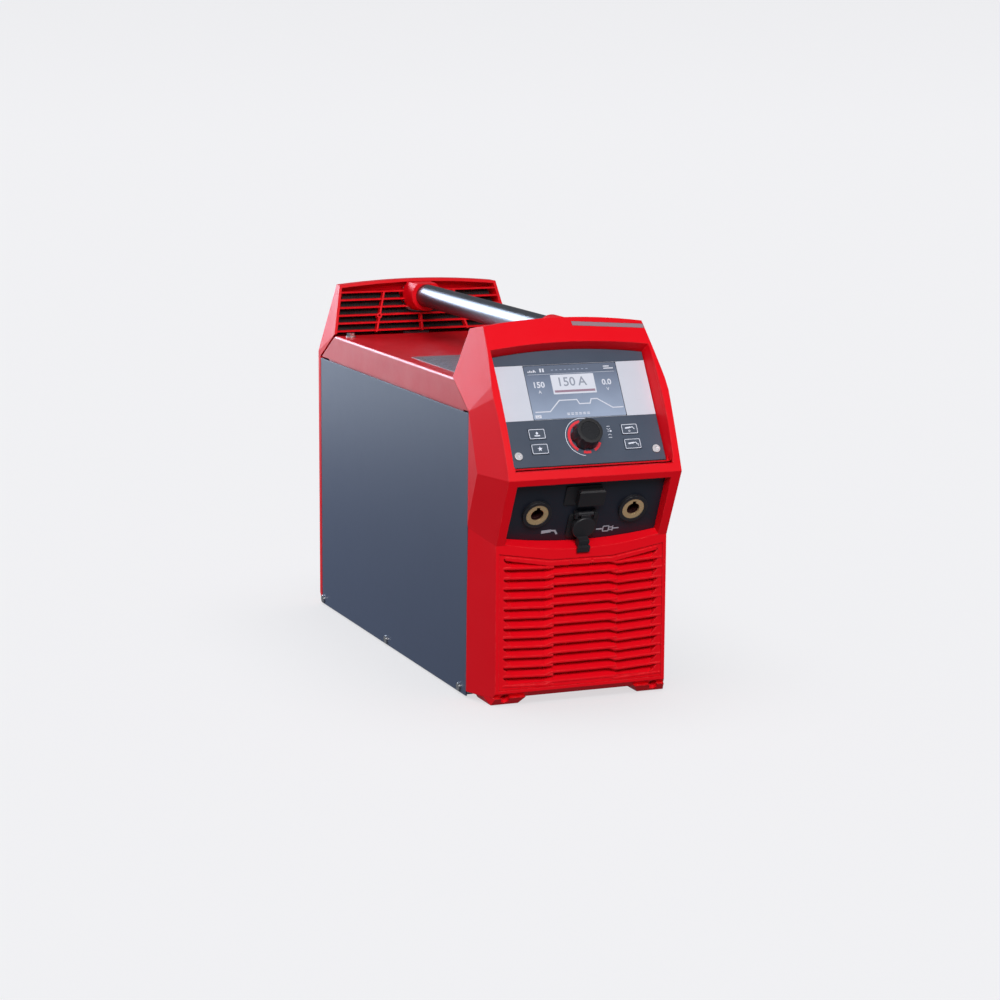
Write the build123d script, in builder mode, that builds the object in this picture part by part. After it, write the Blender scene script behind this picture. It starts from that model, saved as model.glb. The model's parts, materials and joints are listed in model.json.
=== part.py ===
"""Portable TIG welding inverter: housing, controls, sockets, handle and the parts inside.

Frame: origin at the bottom centre, front towards -Y, +Z up, +X to the right seen from the front.
"""
from build123d import *
import math
import os

os.makedirs("parts", exist_ok=True)

# ---------------------------------------------------------------- driving dimensions (mm)
HALF_W = 103.5          # outer face of the side panels and of both plastic frames
SCREW_TIP = 105.0       # outer face of the side screw heads
RIDGE_Y = -279.0        # foremost line of the front frame
HEIGHT = 370.0          # crown of the rear frame
SHEET = 1.5             # folded steel sheet
WALL = 3.0              # moulded plastic wall
LOWER_FACE_Y = -247.0
LOWER_FACE_TOP = 158.0
RIDGE_Z = 226.0
FACE_TOP_Y = -195.3
FACE_TOP_Z = 362.9
FACE_BULGE = 8.0        # how far the display face bows out from its chord
FRAME_BOTTOM = 6.5
SIDE_FRONT_LOW = (-203.3, 1.6)
SIDE_FRONT_HIGH = (-208.6, 281.5)
SIDE_REAR_Y = 247.0
SIDE_TOP = 281.5
COVER_LOW = 283.6
COVER_TOP = 311.5
HOOD_BACK_Y = -165.5
HOOD_BACK_TOP_Y = -173.3
REAR_FRAME_Y = 256.0
SCOOP_FOOT = (198.5, 313.5)
SCOOP_TOP = (213.5, 367.0)
SCOOP_BACK_TOP = (224.0, 372.0)
HOOD_FALL = math.radians(8.0)   # the hood's crown falls towards the handle
HANDLE_Z = 353.6
HANDLE_R = 12.5
PANEL_DEPTH = 8.0       # control panel behind the chord of the display face
SOCKET_DEPTH = 9.0      # socket panel behind the undercut face
SOCKET_X = 50.4
SOCKET_T = 29.3         # height of the sockets along the undercut face
PLUG_BORE_R = 6.6       # bore of the current sockets, for a 13 mm plug
DIAL_S = 44.0           # height of the dial along the display face
RUN_FIT = 0.05          # radial clearance of running fits
BODY_GAP = 0.3          # air round moving pieces that only pass each other


# ---------------------------------------------------------------- helpers
def slab(x, y, z, mode=Mode.ADD):
    """Box between a low and a high value on each axis."""
    with Locations(((x[0] + x[1]) / 2, (y[0] + y[1]) / 2, (z[0] + z[1]) / 2)):
        Box(x[1] - x[0], y[1] - y[0], z[1] - z[0], mode=mode)


def rod(origin, direction, radius, length, mode=Mode.ADD):
    """Cylinder that starts at origin and runs along direction."""
    with Locations(Plane(origin=origin, z_dir=direction)):
        Cylinder(radius, length, align=(Align.CENTER, Align.CENTER, Align.MIN), mode=mode)


def on_plane(plane, x, y, depth=0.0):
    """World point at local x, y on a plane, depth behind it."""
    return plane.from_local_coords((x, y, -depth))


def plane_slab(plane, x, y, depth, mode=Mode.ADD):
    """Box on a plane between two values of local x and y and two depths behind it."""
    with Locations(plane.offset(-(depth[0] + depth[1]) / 2)):
        with Locations(((x[0] + x[1]) / 2, (y[0] + y[1]) / 2, 0)):
            Box(x[1] - x[0], y[1] - y[0], depth[1] - depth[0], mode=mode)


def plane_rod(plane, x, y, radius, depth, mode=Mode.ADD):
    """Cylinder square to a plane at local x, y between two depths behind it."""
    with Locations(plane.offset(-depth[1])):
        with Locations((x, y, 0)):
            Cylinder(
                radius,
                depth[1] - depth[0],
                align=(Align.CENTER, Align.CENTER, Align.MIN),
                mode=mode,
            )


def plane_prism(plane, x, y, flats, depth, mode=Mode.ADD):
    """Hexagonal prism square to a plane, measured across its flats."""
    with BuildSketch(plane.offset(-depth[1])) as hexagon:
        with Locations((x, y)):
            RegularPolygon(flats / 2, 6, major_radius=False)
    extrude(hexagon.sketch, amount=depth[1] - depth[0], mode=mode)


def outward_plane(p0, p1, p2):
    """Plane through three points of the left side whose normal points away from the centre."""
    a, b, c = Vector(*p0), Vector(*p1), Vector(*p2)
    normal = (b - a).cross(c - a).normalized()
    if normal.X > 0:
        normal = normal * -1
    return Plane(origin=a, z_dir=normal)


def other_side(plane):
    """The same plane mirrored to the right side."""
    o, n = plane.origin, plane.z_dir
    return Plane(origin=(-o.X, o.Y, o.Z), z_dir=(-n.X, n.Y, n.Z))


def save(builder, name):
    """Label a finished piece and write its STEP file."""
    builder.part.label = name
    export_step(builder.part, f"parts/{name}.step")


# ---------------------------------------------------------------- reference planes and facets
face_dir = Vector(0, FACE_TOP_Y - RIDGE_Y, FACE_TOP_Z - RIDGE_Z).normalized()
FACE = Plane(origin=(0, RIDGE_Y, RIDGE_Z), x_dir=(1, 0, 0), z_dir=(0, -face_dir.Z, face_dir.Y))
under_dir = Vector(0, RIDGE_Y - LOWER_FACE_Y, RIDGE_Z - LOWER_FACE_TOP).normalized()
UNDER = Plane(
    origin=(0, LOWER_FACE_Y, LOWER_FACE_TOP),
    x_dir=(1, 0, 0),
    z_dir=(0, -under_dir.Z, under_dir.Y),
)
FACE_CHORD = math.hypot(FACE_TOP_Y - RIDGE_Y, FACE_TOP_Z - RIDGE_Z)
FACE_R = (FACE_CHORD**2 / 4 + FACE_BULGE**2) / (2 * FACE_BULGE)

APEX = (-HALF_W, -231.6, 227.0)
SIDE_KINK = (-HALF_W, -208.6, COVER_LOW)
RIDGE_END = (-90.0, RIDGE_Y, RIDGE_Z)
LOWER_EDGE = (-90.0, LOWER_FACE_Y, LOWER_FACE_TOP)
TOP_CORNER = (-88.8, FACE_TOP_Y, FACE_TOP_Z)
FACE_EDGE_MID = (-91.5, -241.4, 302.7)
HOOD_FOOT = (-HALF_W, HOOD_BACK_Y, COVER_TOP)
HOOD_CORNER = (-88.8, HOOD_BACK_TOP_Y, 359.3)

facet_lower = outward_plane((-HALF_W, -205.0, 0), (-HALF_W, -205.0, 100), (-90.0, LOWER_FACE_Y, 0))
facet_under = outward_plane(APEX, RIDGE_END, LOWER_EDGE)
facet_cheek = outward_plane(APEX, SIDE_KINK, RIDGE_END)
facet_brow = outward_plane(SIDE_KINK, TOP_CORNER, FACE_EDGE_MID)
facet_pale = outward_plane(SIDE_KINK, HOOD_FOOT, HOOD_CORNER)
facet_scoop = outward_plane(
    (-HALF_W, REAR_FRAME_Y, 288.0),
    (-HALF_W, SCOOP_FOOT[0], SCOOP_FOOT[1]),
    (-92.5, SCOOP_TOP[0], 364.0),
)


def face_point(s):
    """(y, z) of the bowed display face at distance s along its chord from the ridge."""
    middle = s - FACE_CHORD / 2
    bow = math.sqrt(FACE_R**2 - middle**2) - (FACE_R - FACE_BULGE)
    p = on_plane(FACE, 0, s, -bow)
    return (p.Y, p.Z)


# ---------------------------------------------------------------- front frame
def front_form(inset, hollow):
    """Outer form of the front frame, or with an inset the form of its hollow."""
    rear = (-185.0, FRAME_BOTTOM) if hollow else (-203.3, FRAME_BOTTOM)
    hood_foot = (-161.2, 285.0) if hollow else (HOOD_BACK_Y, COVER_TOP)
    kink = (-185.0, 285.0) if hollow else (SIDE_KINK[1], COVER_LOW)
    half = HALF_W - inset
    forms = []
    for lower in (True, False):
        with BuildPart() as form:
            with BuildSketch(Plane.YZ.offset(-half)):
                with BuildLine():
                    Polyline(
                        face_point(0),
                        (LOWER_FACE_Y, LOWER_FACE_TOP),
                        (LOWER_FACE_Y, 12.0),
                        (-241.5, FRAME_BOTTOM),
                        rear,
                        kink,
                        hood_foot,
                        (HOOD_BACK_TOP_Y - 2.3, 373.0),
                        face_point(FACE_CHORD + 14.0),
                    )
                    ThreePointArc(
                        face_point(FACE_CHORD + 14.0), face_point(FACE_CHORD / 2), face_point(0)
                    )
                make_face()
                if inset:
                    offset(amount=-inset, kind=Kind.INTERSECTION, mode=Mode.REPLACE)
            extrude(amount=2 * half)
            facets = [facet_lower] if lower else [facet_under, facet_cheek, facet_brow, facet_pale]
            for plane in facets:
                split(bisect_by=plane.offset(-inset), keep=Keep.BOTTOM)
                split(bisect_by=other_side(plane).offset(-inset), keep=Keep.BOTTOM)
            if lower:
                split(bisect_by=Plane.XY.offset(175.0), keep=Keep.BOTTOM)
            else:
                crown = 560.0
                axis_at = (0, FACE_TOP_Y, HEIGHT - 0.5 - crown / math.cos(HOOD_FALL))
                fall = (0, math.cos(HOOD_FALL), -math.sin(HOOD_FALL))
                with Locations(Plane(origin=axis_at, z_dir=fall)):
                    Cylinder(crown - inset, 700.0, mode=Mode.INTERSECT)
        forms.append(form.part)
    with BuildPart() as whole:
        add(forms[0])
        add(forms[1])
    return whole.part


def display_outline(margin):
    """Outline of the display window on the display face, grown by margin."""
    half = 80.5 + margin
    low, high, crown = 15.5 - margin, 131.0 + margin, 137.0 + margin
    with BuildSketch() as outline:
        with BuildLine():
            Polyline((-half, high), (-half, low), (half, low), (half, high))
            ThreePointArc((half, high), (0, crown), (-half, high))
        make_face()
    return outline.sketch


def socket_outline(margin):
    """Outline of the socket window on the undercut face, with its bowed lower edge."""
    left_low, right_low = (-80.0 - margin, 2.0 - margin), (80.0 + margin, 2.0 - margin)
    left_high, right_high = (-79.0 - margin, 67.0 + margin), (79.0 + margin, 67.0 + margin)
    with BuildSketch() as outline:
        with BuildLine():
            Polyline(left_low, left_high, right_high, right_low)
            ThreePointArc(right_low, (0, -5.5 - margin), left_low)
        make_face()
    return outline.sketch


def grille_outline(margin):
    """Outline of the front grille, whose top edge dips in the middle."""
    half, low, high, dip = 86.3 + margin, 15.0 - margin, 149.8 + margin, 141.0 + margin
    with BuildSketch() as outline:
        with BuildLine():
            Polyline(
                (-half, low),
                (half, low),
                (half, high),
                (32.0, dip),
                (-32.0, dip),
                (-half, high),
                (-half, low),
            )
        make_face()
    return outline.sketch


FRONT = Plane(origin=(0, LOWER_FACE_Y, 0), x_dir=(1, 0, 0), z_dir=(0, -1, 0))
outer_form = front_form(0.0, False)
hollow_form = front_form(WALL, True)

with BuildPart() as front_hollow:
    add(hollow_form)
    with BuildSketch(FACE.offset(-PANEL_DEPTH - 1.0)):
        add(display_outline(WALL))
    extrude(amount=40.0, mode=Mode.SUBTRACT)
    with BuildSketch(UNDER.offset(-SOCKET_DEPTH - 1.0)):
        add(socket_outline(WALL))
    extrude(amount=40.0, mode=Mode.SUBTRACT)
    with BuildSketch(FRONT.offset(-13.0)):
        add(grille_outline(WALL))
    extrude(amount=20.0, mode=Mode.SUBTRACT)

with BuildPart() as front_frame:
    add(outer_form)
    add(front_hollow.part, mode=Mode.SUBTRACT)
    # feet under both front corners, their lower front edge sloping back
    for side in (-1, 1):
        with BuildSketch(Plane.XZ.offset(205.0)):
            with BuildLine():
                Polyline(
                    (side * 58.0, FRAME_BOTTOM + 1.0),
                    (side * 63.6, 0.0),
                    (side * 92.0, 0.0),
                    (side * 96.0, FRAME_BOTTOM + 1.0),
                    (side * 58.0, FRAME_BOTTOM + 1.0),
                )
            make_face()
        extrude(amount=LOWER_FACE_Y * -1 - 205.0)
    with BuildSketch(Plane.YZ.offset(-120.0)):
        with BuildLine():
            Polyline((-239.5, -1.0), (-252.0, 12.6), (-252.0, -1.0), (-239.5, -1.0))
        make_face()
    extrude(amount=240.0, mode=Mode.SUBTRACT)
    # the feet follow the lower side facets
    for side in (-1, 1):
        with BuildSketch(Plane.XY.offset(-1.0)):
            with BuildLine():
                Polyline(
                    (side * 103.6, -204.9),
                    (side * 85.0, -261.8),
                    (side * 112.0, -261.8),
                    (side * 112.0, -204.9),
                    (side * 103.6, -204.9),
                )
            make_face()
        extrude(amount=9.0, mode=Mode.SUBTRACT)
    # screw pockets in the sloping front of the feet
    for side in (-1, 1):
        rod((side * 79.0, -252.0, -1.0), (0, 0.72, 0.69), 4.4, 20.0, mode=Mode.SUBTRACT)
    # display window with flared walls and a steeper sill
    with BuildSketch(FACE.offset(-PANEL_DEPTH - 2.0)):
        add(display_outline(0.0))
    extrude(amount=40.0, taper=-11.0, mode=Mode.SUBTRACT)
    sill_far = on_plane(FACE, 0, 15.6, PANEL_DEPTH)
    sill_near = on_plane(FACE, 0, 7.6, -1.5)
    sill_top = on_plane(FACE, 0, 24.0, -1.5)
    with BuildSketch(Plane.YZ.offset(-82.0)):
        with BuildLine():
            Polyline(
                (sill_far.Y, sill_far.Z),
                (sill_near.Y, sill_near.Z),
                (sill_near.Y - 8.0, sill_near.Z + 6.0),
                (sill_top.Y, sill_top.Z),
                (sill_far.Y, sill_far.Z),
            )
        make_face()
    extrude(amount=164.0, mode=Mode.SUBTRACT)
    # socket window and grille window
    with BuildSketch(UNDER.offset(-SOCKET_DEPTH - 2.0)):
        add(socket_outline(0.0))
    extrude(amount=30.0, taper=-6.0, mode=Mode.SUBTRACT)
    with BuildSketch(FRONT.offset(-14.0)):
        add(grille_outline(0.0))
    extrude(amount=20.0, mode=Mode.SUBTRACT)
    # seat of the status light, a shallow slot that follows the crown
    with BuildSketch(FACE.offset(-2.0)):
        with BuildLine():
            Polyline((9.0, 158.1), (84.0, 151.8), (84.0, 156.8), (9.0, 163.3), (9.0, 158.1))
        make_face()
    extrude(amount=10.0, mode=Mode.SUBTRACT)
    # boss round the handle tube
    rod((0, -186.0, HANDLE_Z), (0, 1, 0), 15.5, 20.0)
    rod((0, -189.0, HANDLE_Z), (0, 1, 0), HANDLE_R, 30.0, mode=Mode.SUBTRACT)
save(front_frame, "front_frame")


# ---------------------------------------------------------------- front grille
SLAT_PITCH = 9.7
SLAT_FIRST_Z = 17.1
SLAT_COUNT = 13


# lower edge of a slat: the middle third is raised by a jog on each side
SLAT_LINE = [(-81.5, 1.0), (-37.0, -1.0), (-30.5, 1.6), (30.5, 1.6), (37.0, -1.0), (81.5, 1.0)]
slat_y = LOWER_FACE_Y + 0.6
with BuildPart() as slat:
    for (xa, za), (xb, zb) in zip(SLAT_LINE, SLAT_LINE[1:]):
        stations = []
        for x, z in ((xa, za), (xb, zb)):
            with BuildSketch(Plane.YZ.offset(x)) as station:
                with BuildLine():
                    Polyline(
                        (slat_y, z),
                        (slat_y + 1.4, z - 1.0),
                        (slat_y + 10.6, z + 7.0),
                        (slat_y + 9.2, z + 8.4),
                        (slat_y, z + 1.6),
                        (slat_y, z),
                    )
                make_face()
            stations.append(station.sketch)
        loft(sections=stations)
    # each end tapers into the frame
    for side in (-1, 1):
        with BuildSketch(FRONT.offset(-9.0)):
            with BuildLine():
                Polyline(
                    (side * 81.8, 10.0),
                    (side * 81.8, 1.6),
                    (side * 73.5, 1.6),
                    (side * 81.8, 10.0),
                )
            make_face()
        extrude(amount=8.0)

with BuildPart() as front_grille:
    with BuildSketch(FRONT.offset(-12.5)):
        add(grille_outline(-0.15))
        add(grille_outline(-5.0), mode=Mode.SUBTRACT)
    extrude(amount=11.5)
    with Locations([(0, 0, SLAT_FIRST_Z + row * SLAT_PITCH) for row in range(SLAT_COUNT)]):
        add(slat.part)
    # upper row: two splayed arms and a notched centre bar
    for side in (-1, 1):
        with BuildSketch(FRONT.offset(-8.0)):
            with BuildLine():
                Polyline(
                    (side * 80.0, 143.2),
                    (side * 33.0, 134.6),
                    (side * 12.5, 134.6),
                    (side * 12.5, 138.8),
                    (side * 33.0, 138.8),
                    (side * 80.0, 146.6),
                    (side * 80.0, 143.2),
                )
            make_face()
        extrude(amount=7.6)
    slab((-9.8, 9.8), (LOWER_FACE_Y + 0.4, LOWER_FACE_Y + 8.0), (134.4, 138.8))
    with Locations([(x, LOWER_FACE_Y + 9.7, 78.0) for x in (-40.0, -13.5, 13.5, 40.0)]):
        Box(1.8, 5.6, 122.0)
    with BuildSketch(FRONT.offset(-12.5)):
        add(grille_outline(-0.15))
    extrude(amount=12.5, mode=Mode.INTERSECT)
save(front_grille, "front_grille")

# ---------------------------------------------------------------- rear frame and louvre
def rear_form(inset, hollow):
    """Outer form of the rear frame with its forward scoop, or the form of its hollow."""
    half = HALF_W - inset
    if hollow:
        outline = [
            (235.0, FRAME_BOTTOM),
            (235.0, 285.0),
            (170.0, 313.5),
            (170.0, 380.0),
            (SCOOP_BACK_TOP[0] + 1.0, 380.0),
            (SCOOP_BACK_TOP[0] + 4.0, 364.0),
            (REAR_FRAME_Y, 290.0),
            (REAR_FRAME_Y, FRAME_BOTTOM),
        ]
    else:
        outline = [
            (249.0, FRAME_BOTTOM),
            (249.0, 283.3),
            SCOOP_FOOT,
            (SCOOP_TOP[0] + 1.7, 373.0),
            (SCOOP_BACK_TOP[0], 373.0),
            (SCOOP_BACK_TOP[0] + 4.0, 364.0),
            (REAR_FRAME_Y, 290.0),
            (REAR_FRAME_Y, 12.0),
            (251.5, FRAME_BOTTOM),
        ]
    with BuildPart() as form:
        with BuildSketch(Plane.YZ.offset(-half)):
            with BuildLine():
                Polyline(*outline, outline[0])
            make_face()
            if inset:
                offset(amount=-inset, kind=Kind.INTERSECTION, mode=Mode.REPLACE)
        extrude(amount=2 * half)
        for plane in (facet_scoop, other_side(facet_scoop)):
            split(bisect_by=plane.offset(-inset), keep=Keep.BOTTOM)
        crown = 850.0
        with Locations(Plane(origin=(0, 100.0, HEIGHT - crown), z_dir=(0, 1, 0))):
            Cylinder(crown - inset, 500.0, mode=Mode.INTERSECT)
    return form.part


REAR_SCREWS = [(x, z) for x in (-97.0, 97.0) for z in (30.0, 262.0)]
rear_outer = rear_form(0.0, False)
rear_hollow = rear_form(WALL, True)
with BuildPart() as rear_frame:
    add(rear_outer)
    add(rear_hollow, mode=Mode.SUBTRACT)
    slab((-94.0, 94.0), (252.0, 258.0), (16.0, 276.0), mode=Mode.SUBTRACT)
    for side in (-1, 1):
        with BuildSketch(Plane.XZ.offset(-REAR_FRAME_Y)):
            with BuildLine():
                Polyline(
                    (side * 58.0, FRAME_BOTTOM + 1.0),
                    (side * 63.6, 0.0),
                    (side * 92.0, 0.0),
                    (side * 99.0, FRAME_BOTTOM + 1.0),
                    (side * 58.0, FRAME_BOTTOM + 1.0),
                )
            make_face()
        extrude(amount=7.0)
    for x, z in REAR_SCREWS:
        rod((x, 240.0, z), (0, 1, 0), 1.7, 30.0, mode=Mode.SUBTRACT)
save(rear_frame, "rear_frame")

scoop_lean = (SCOOP_TOP[0] - SCOOP_FOOT[0]) / (SCOOP_TOP[1] - SCOOP_FOOT[1])
lean_len = math.hypot(SCOOP_TOP[0] - SCOOP_FOOT[0], SCOOP_TOP[1] - SCOOP_FOOT[1])
LOUVRE = Plane(
    origin=(0, SCOOP_FOOT[0], SCOOP_FOOT[1]),
    x_dir=(1, 0, 0),
    z_dir=(0, -(SCOOP_TOP[1] - SCOOP_FOOT[1]) / lean_len, (SCOOP_TOP[0] - SCOOP_FOOT[0]) / lean_len),
)
LOUVRE_PITCH = 8.3
with BuildPart() as rear_louvre:
    # slats run level, deep enough to shade the inside
    for row in range(6):
        z = SCOOP_FOOT[1] + 1.4 + row * LOUVRE_PITCH
        y = SCOOP_FOOT[0] + (z - SCOOP_FOOT[1]) * scoop_lean
        slab((-102.0, 102.0), (y + 0.4, y + 9.0), (z, z + 1.6))
    # ribs fan out towards the foot
    for foot_x, head_x, head in ((-54.0, -41.0, 46.0), (0.0, 0.0, 20.0), (54.0, 41.0, 46.0)):
        with BuildSketch(LOUVRE.offset(-8.6)):
            with BuildLine():
                Polyline(
                    (foot_x - 1.0, 0.8),
                    (foot_x + 1.0, 0.8),
                    (head_x + 1.0, head),
                    (head_x - 1.0, head),
                    (foot_x - 1.0, 0.8),
                )
            make_face()
        extrude(amount=8.4)
    for side in (-1, 1):
        boss = on_plane(LOUVRE, side * 49.3, 18.8, 6.0)
        rod(boss, LOUVRE.z_dir, 3.0, 6.2)
        rod(boss, LOUVRE.z_dir, 1.3, 8.0, mode=Mode.SUBTRACT)
    # flared boss that carries the handle tube
    with Locations(Plane(origin=(0, 199.0, HANDLE_Z), z_dir=(0, 1, 0))):
        Cone(17.0, 19.0, 26.0)
    rod((0, 184.0, HANDLE_Z), (0, 1, 0), HANDLE_R, 40.0, mode=Mode.SUBTRACT)
    add(rear_hollow, mode=Mode.INTERSECT)
save(rear_louvre, "rear_louvre")


# ---------------------------------------------------------------- status light
with BuildPart() as status_light:
    with BuildSketch(FACE.offset(-1.9)):
        with BuildLine():
            Polyline((9.2, 158.3), (83.8, 152.0), (83.8, 156.6), (9.2, 163.1), (9.2, 158.3))
        make_face()
    extrude(amount=4.0)
    add(outer_form, mode=Mode.INTERSECT)
save(status_light, "status_light")


# ---------------------------------------------------------------- base pan and feet
SCREW_YS = (-184.5, 30.5, 244.0)
SCREW_Z = 6.7
with BuildPart() as base_pan:
    slab((-101.9, 101.9), (-200.0, 247.0), (3.2, 4.7))
    for side in (-1, 1):
        lip = sorted((side * 100.4, side * 101.9))
        slab(lip, (-200.0, 247.0), (3.2, 16.0))
    slab((-95.0, 95.0), (245.5, 247.0), (3.2, 16.0))
    # joggled tongue that lies on the floor of the front frame
    slab((-86.0, 86.0), (-201.5, -200.0), (3.2, 11.1))
    slab((-86.0, 86.0), (-238.0, -200.0), (9.6, 11.1))
    with Locations([Location((0, y, SCREW_Z), (0, 90, 0)) for y in SCREW_YS]):
        Cylinder(1.7, 220.0, mode=Mode.SUBTRACT)
    with Locations([(x, 196.0, 3.9) for x in (-40.0, 0.0, 40.0)]):
        Box(24.0, 6.0, 4.0, mode=Mode.SUBTRACT)
save(base_pan, "base_pan")

with BuildPart() as rubber_feet:
    with Locations([(x, y, 1.6) for x in (-70.0, 70.0) for y in (-160.0, 215.0)]):
        Cylinder(10.0, 3.2)
save(rubber_feet, "rubber_feet")


# ---------------------------------------------------------------- side panels and top cover
def side_panel(side):
    """One side panel: a flat sheet with an inward flange along its foot."""
    sheet = -HALF_W if side < 0 else HALF_W - SHEET
    flange = sorted((side * 90.0, side * (HALF_W - SHEET)))
    with BuildPart() as panel:
        with BuildSketch(Plane.YZ.offset(sheet)):
            with BuildLine():
                Polyline(
                    (SIDE_FRONT_LOW[0] + 0.4, SIDE_FRONT_LOW[1]),
                    (SIDE_FRONT_HIGH[0] + 0.4, SIDE_FRONT_HIGH[1]),
                    (SIDE_REAR_Y, SIDE_TOP),
                    (SIDE_REAR_Y, SIDE_FRONT_LOW[1]),
                    (SIDE_FRONT_LOW[0] + 0.4, SIDE_FRONT_LOW[1]),
                )
            make_face()
        extrude(amount=SHEET)
        slab(flange, (-198.0, 245.0), (SIDE_FRONT_LOW[1], SIDE_FRONT_LOW[1] + SHEET))
        with Locations([Location((side * 103.0, y, SCREW_Z), (0, 90, 0)) for y in SCREW_YS]):
            Cylinder(1.7, 6.0, mode=Mode.SUBTRACT)
    return panel


side_panel_left = side_panel(-1)
save(side_panel_left, "side_panel_left")
side_panel_right = side_panel(1)
save(side_panel_right, "side_panel_right")

with BuildPart() as housing_screws:
    for side in (-1, 1):
        for y in SCREW_YS:
            rod((side * HALF_W, y, SCREW_Z), (side, 0, 0), 4.2, SCREW_TIP - HALF_W)
            rod((side * 97.5, y, SCREW_Z), (side, 0, 0), 1.5, 6.5)
    for x, z in REAR_SCREWS:
        rod((x, REAR_FRAME_Y, z), (0, 1, 0), 4.2, SCREW_TIP - HALF_W)
        rod((x, REAR_FRAME_Y, z), (0, -1, 0), 1.5, 6.5)
save(housing_screws, "housing_screws")

TOP_SCREW = (90.0, 182.0)
with BuildPart() as top_cover:
    with BuildSketch(Plane.YZ.offset(-HALF_W)):
        with BuildLine():
            Polyline(
                (SIDE_KINK[1] + 0.5, COVER_LOW),
                (HOOD_BACK_Y + 0.4, COVER_TOP),
                (196.0, COVER_TOP),
                (243.4, COVER_LOW),
                (SIDE_KINK[1] + 0.5, COVER_LOW),
            )
        make_face()
    extrude(amount=2 * HALF_W)
    long_edges = top_cover.edges().filter_by(Axis.Y).group_by(Axis.Z)[-1]
    fillet(long_edges, 3.0)
    slab((-101.5, 101.5), (-215.0, 250.0), (270.0, 309.5), mode=Mode.SUBTRACT)
    # inner flanges that overlap the side panels
    for side in (-1, 1):
        slab(sorted((side * 100.0, side * 101.5)), (-190.0, 225.0), (272.0, 292.0))
        rod((side * TOP_SCREW[0], TOP_SCREW[1], 300.0), (0, 0, 1), 2.7, 20.0, mode=Mode.SUBTRACT)
save(top_cover, "top_cover")

with BuildPart() as top_screws:
    for side in (-1, 1):
        at = Plane(origin=(side * TOP_SCREW[0], TOP_SCREW[1], COVER_TOP), z_dir=(0, 0, 1))
        plane_rod(at, 0, 0, 5.6, (-1.2, 0.0))
        plane_prism(at, 0, 0, 8.0, (-4.5, -1.2))
        plane_rod(at, 0, 0, 2.45, (0.0, 13.0))
save(top_screws, "top_screws")


# ---------------------------------------------------------------- handle
TUBE_FRONT = -184.0
TUBE_REAR = 220.0
with BuildPart() as handle_tube:
    rod((0, TUBE_FRONT, HANDLE_Z), (0, 1, 0), HANDLE_R - 0.05, TUBE_REAR - TUBE_FRONT)
    # hollow between two welded end discs that take the bolts
    length = TUBE_REAR - TUBE_FRONT - 24.0
    rod((0, TUBE_FRONT + 12.0, HANDLE_Z), (0, 1, 0), HANDLE_R - 2.0, length, mode=Mode.SUBTRACT)
    rod((0, TUBE_FRONT, HANDLE_Z), (0, 1, 0), 3.0, 500.0, mode=Mode.SUBTRACT)
save(handle_tube, "handle_tube")

with BuildPart() as handle_brackets:
    # front: an upright behind the hood's boss and a shelf under the cover
    slab((-15.0, 15.0), (TUBE_FRONT - 4.6, TUBE_FRONT - 2.2), (307.0, 361.0))
    slab((-62.0, 62.0), (TUBE_FRONT - 4.6, -148.0), (306.9, 309.3))
    slab((-62.0, 62.0), (-150.4, -148.0), (290.0, 309.3))
    # rear: an upright in the scoop, a leg and a rail that the cover screws reach
    slab((-15.0, 15.0), (TUBE_REAR + 0.2, TUBE_REAR + 2.6), (290.0, 360.5))
    slab((-15.0, 15.0), (174.0, TUBE_REAR + 2.6), (290.0, 292.4))
    slab((-15.0, 15.0), (174.0, 176.4), (290.0, 309.3))
    slab((-99.5, 99.5), (174.0, 190.0), (306.9, 309.3))
    for side in (-1, 1):
        rod((side * TOP_SCREW[0], TOP_SCREW[1], 300.0), (0, 0, 1), 2.6, 20.0, mode=Mode.SUBTRACT)
    rod((0, -250.0, HANDLE_Z), (0, 1, 0), 3.2, 500.0, mode=Mode.SUBTRACT)
save(handle_brackets, "handle_brackets")

with BuildPart() as handle_bolts:
    rod((0, TUBE_FRONT - 4.8, HANDLE_Z), (0, 1, 0), 2.9, 20.0)
    rod((0, TUBE_FRONT - 4.8, HANDLE_Z), (0, -1, 0), 5.5, 1.6)
    rod((0, TUBE_REAR + 2.8, HANDLE_Z), (0, -1, 0), 2.9, 18.0)
    rod((0, TUBE_REAR + 2.8, HANDLE_Z), (0, 1, 0), 5.5, 2.2)
save(handle_bolts, "handle_bolts")


# ---------------------------------------------------------------- control panel
OVERLAY = PANEL_DEPTH - 0.4     # depth of the overlay's front
KEY_X = 48.5
KEY_S = (34.0, 49.5)
KEY_SIZE = (18.0, 11.5)
LCD_X = (-48.0, 49.0)
LCD_S = (64.5, 120.5)
KEYS = {
    "key_home": (-KEY_X, KEY_S[1]),
    "key_store": (-KEY_X, KEY_S[0]),
    "key_trigger": (KEY_X, KEY_S[1]),
    "key_function": (KEY_X, KEY_S[0]),
}
PANEL_SCREWS = [(-72.0, 27.5), (72.0, 27.5)]
PANEL_SCREW_R = 4.0

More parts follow.
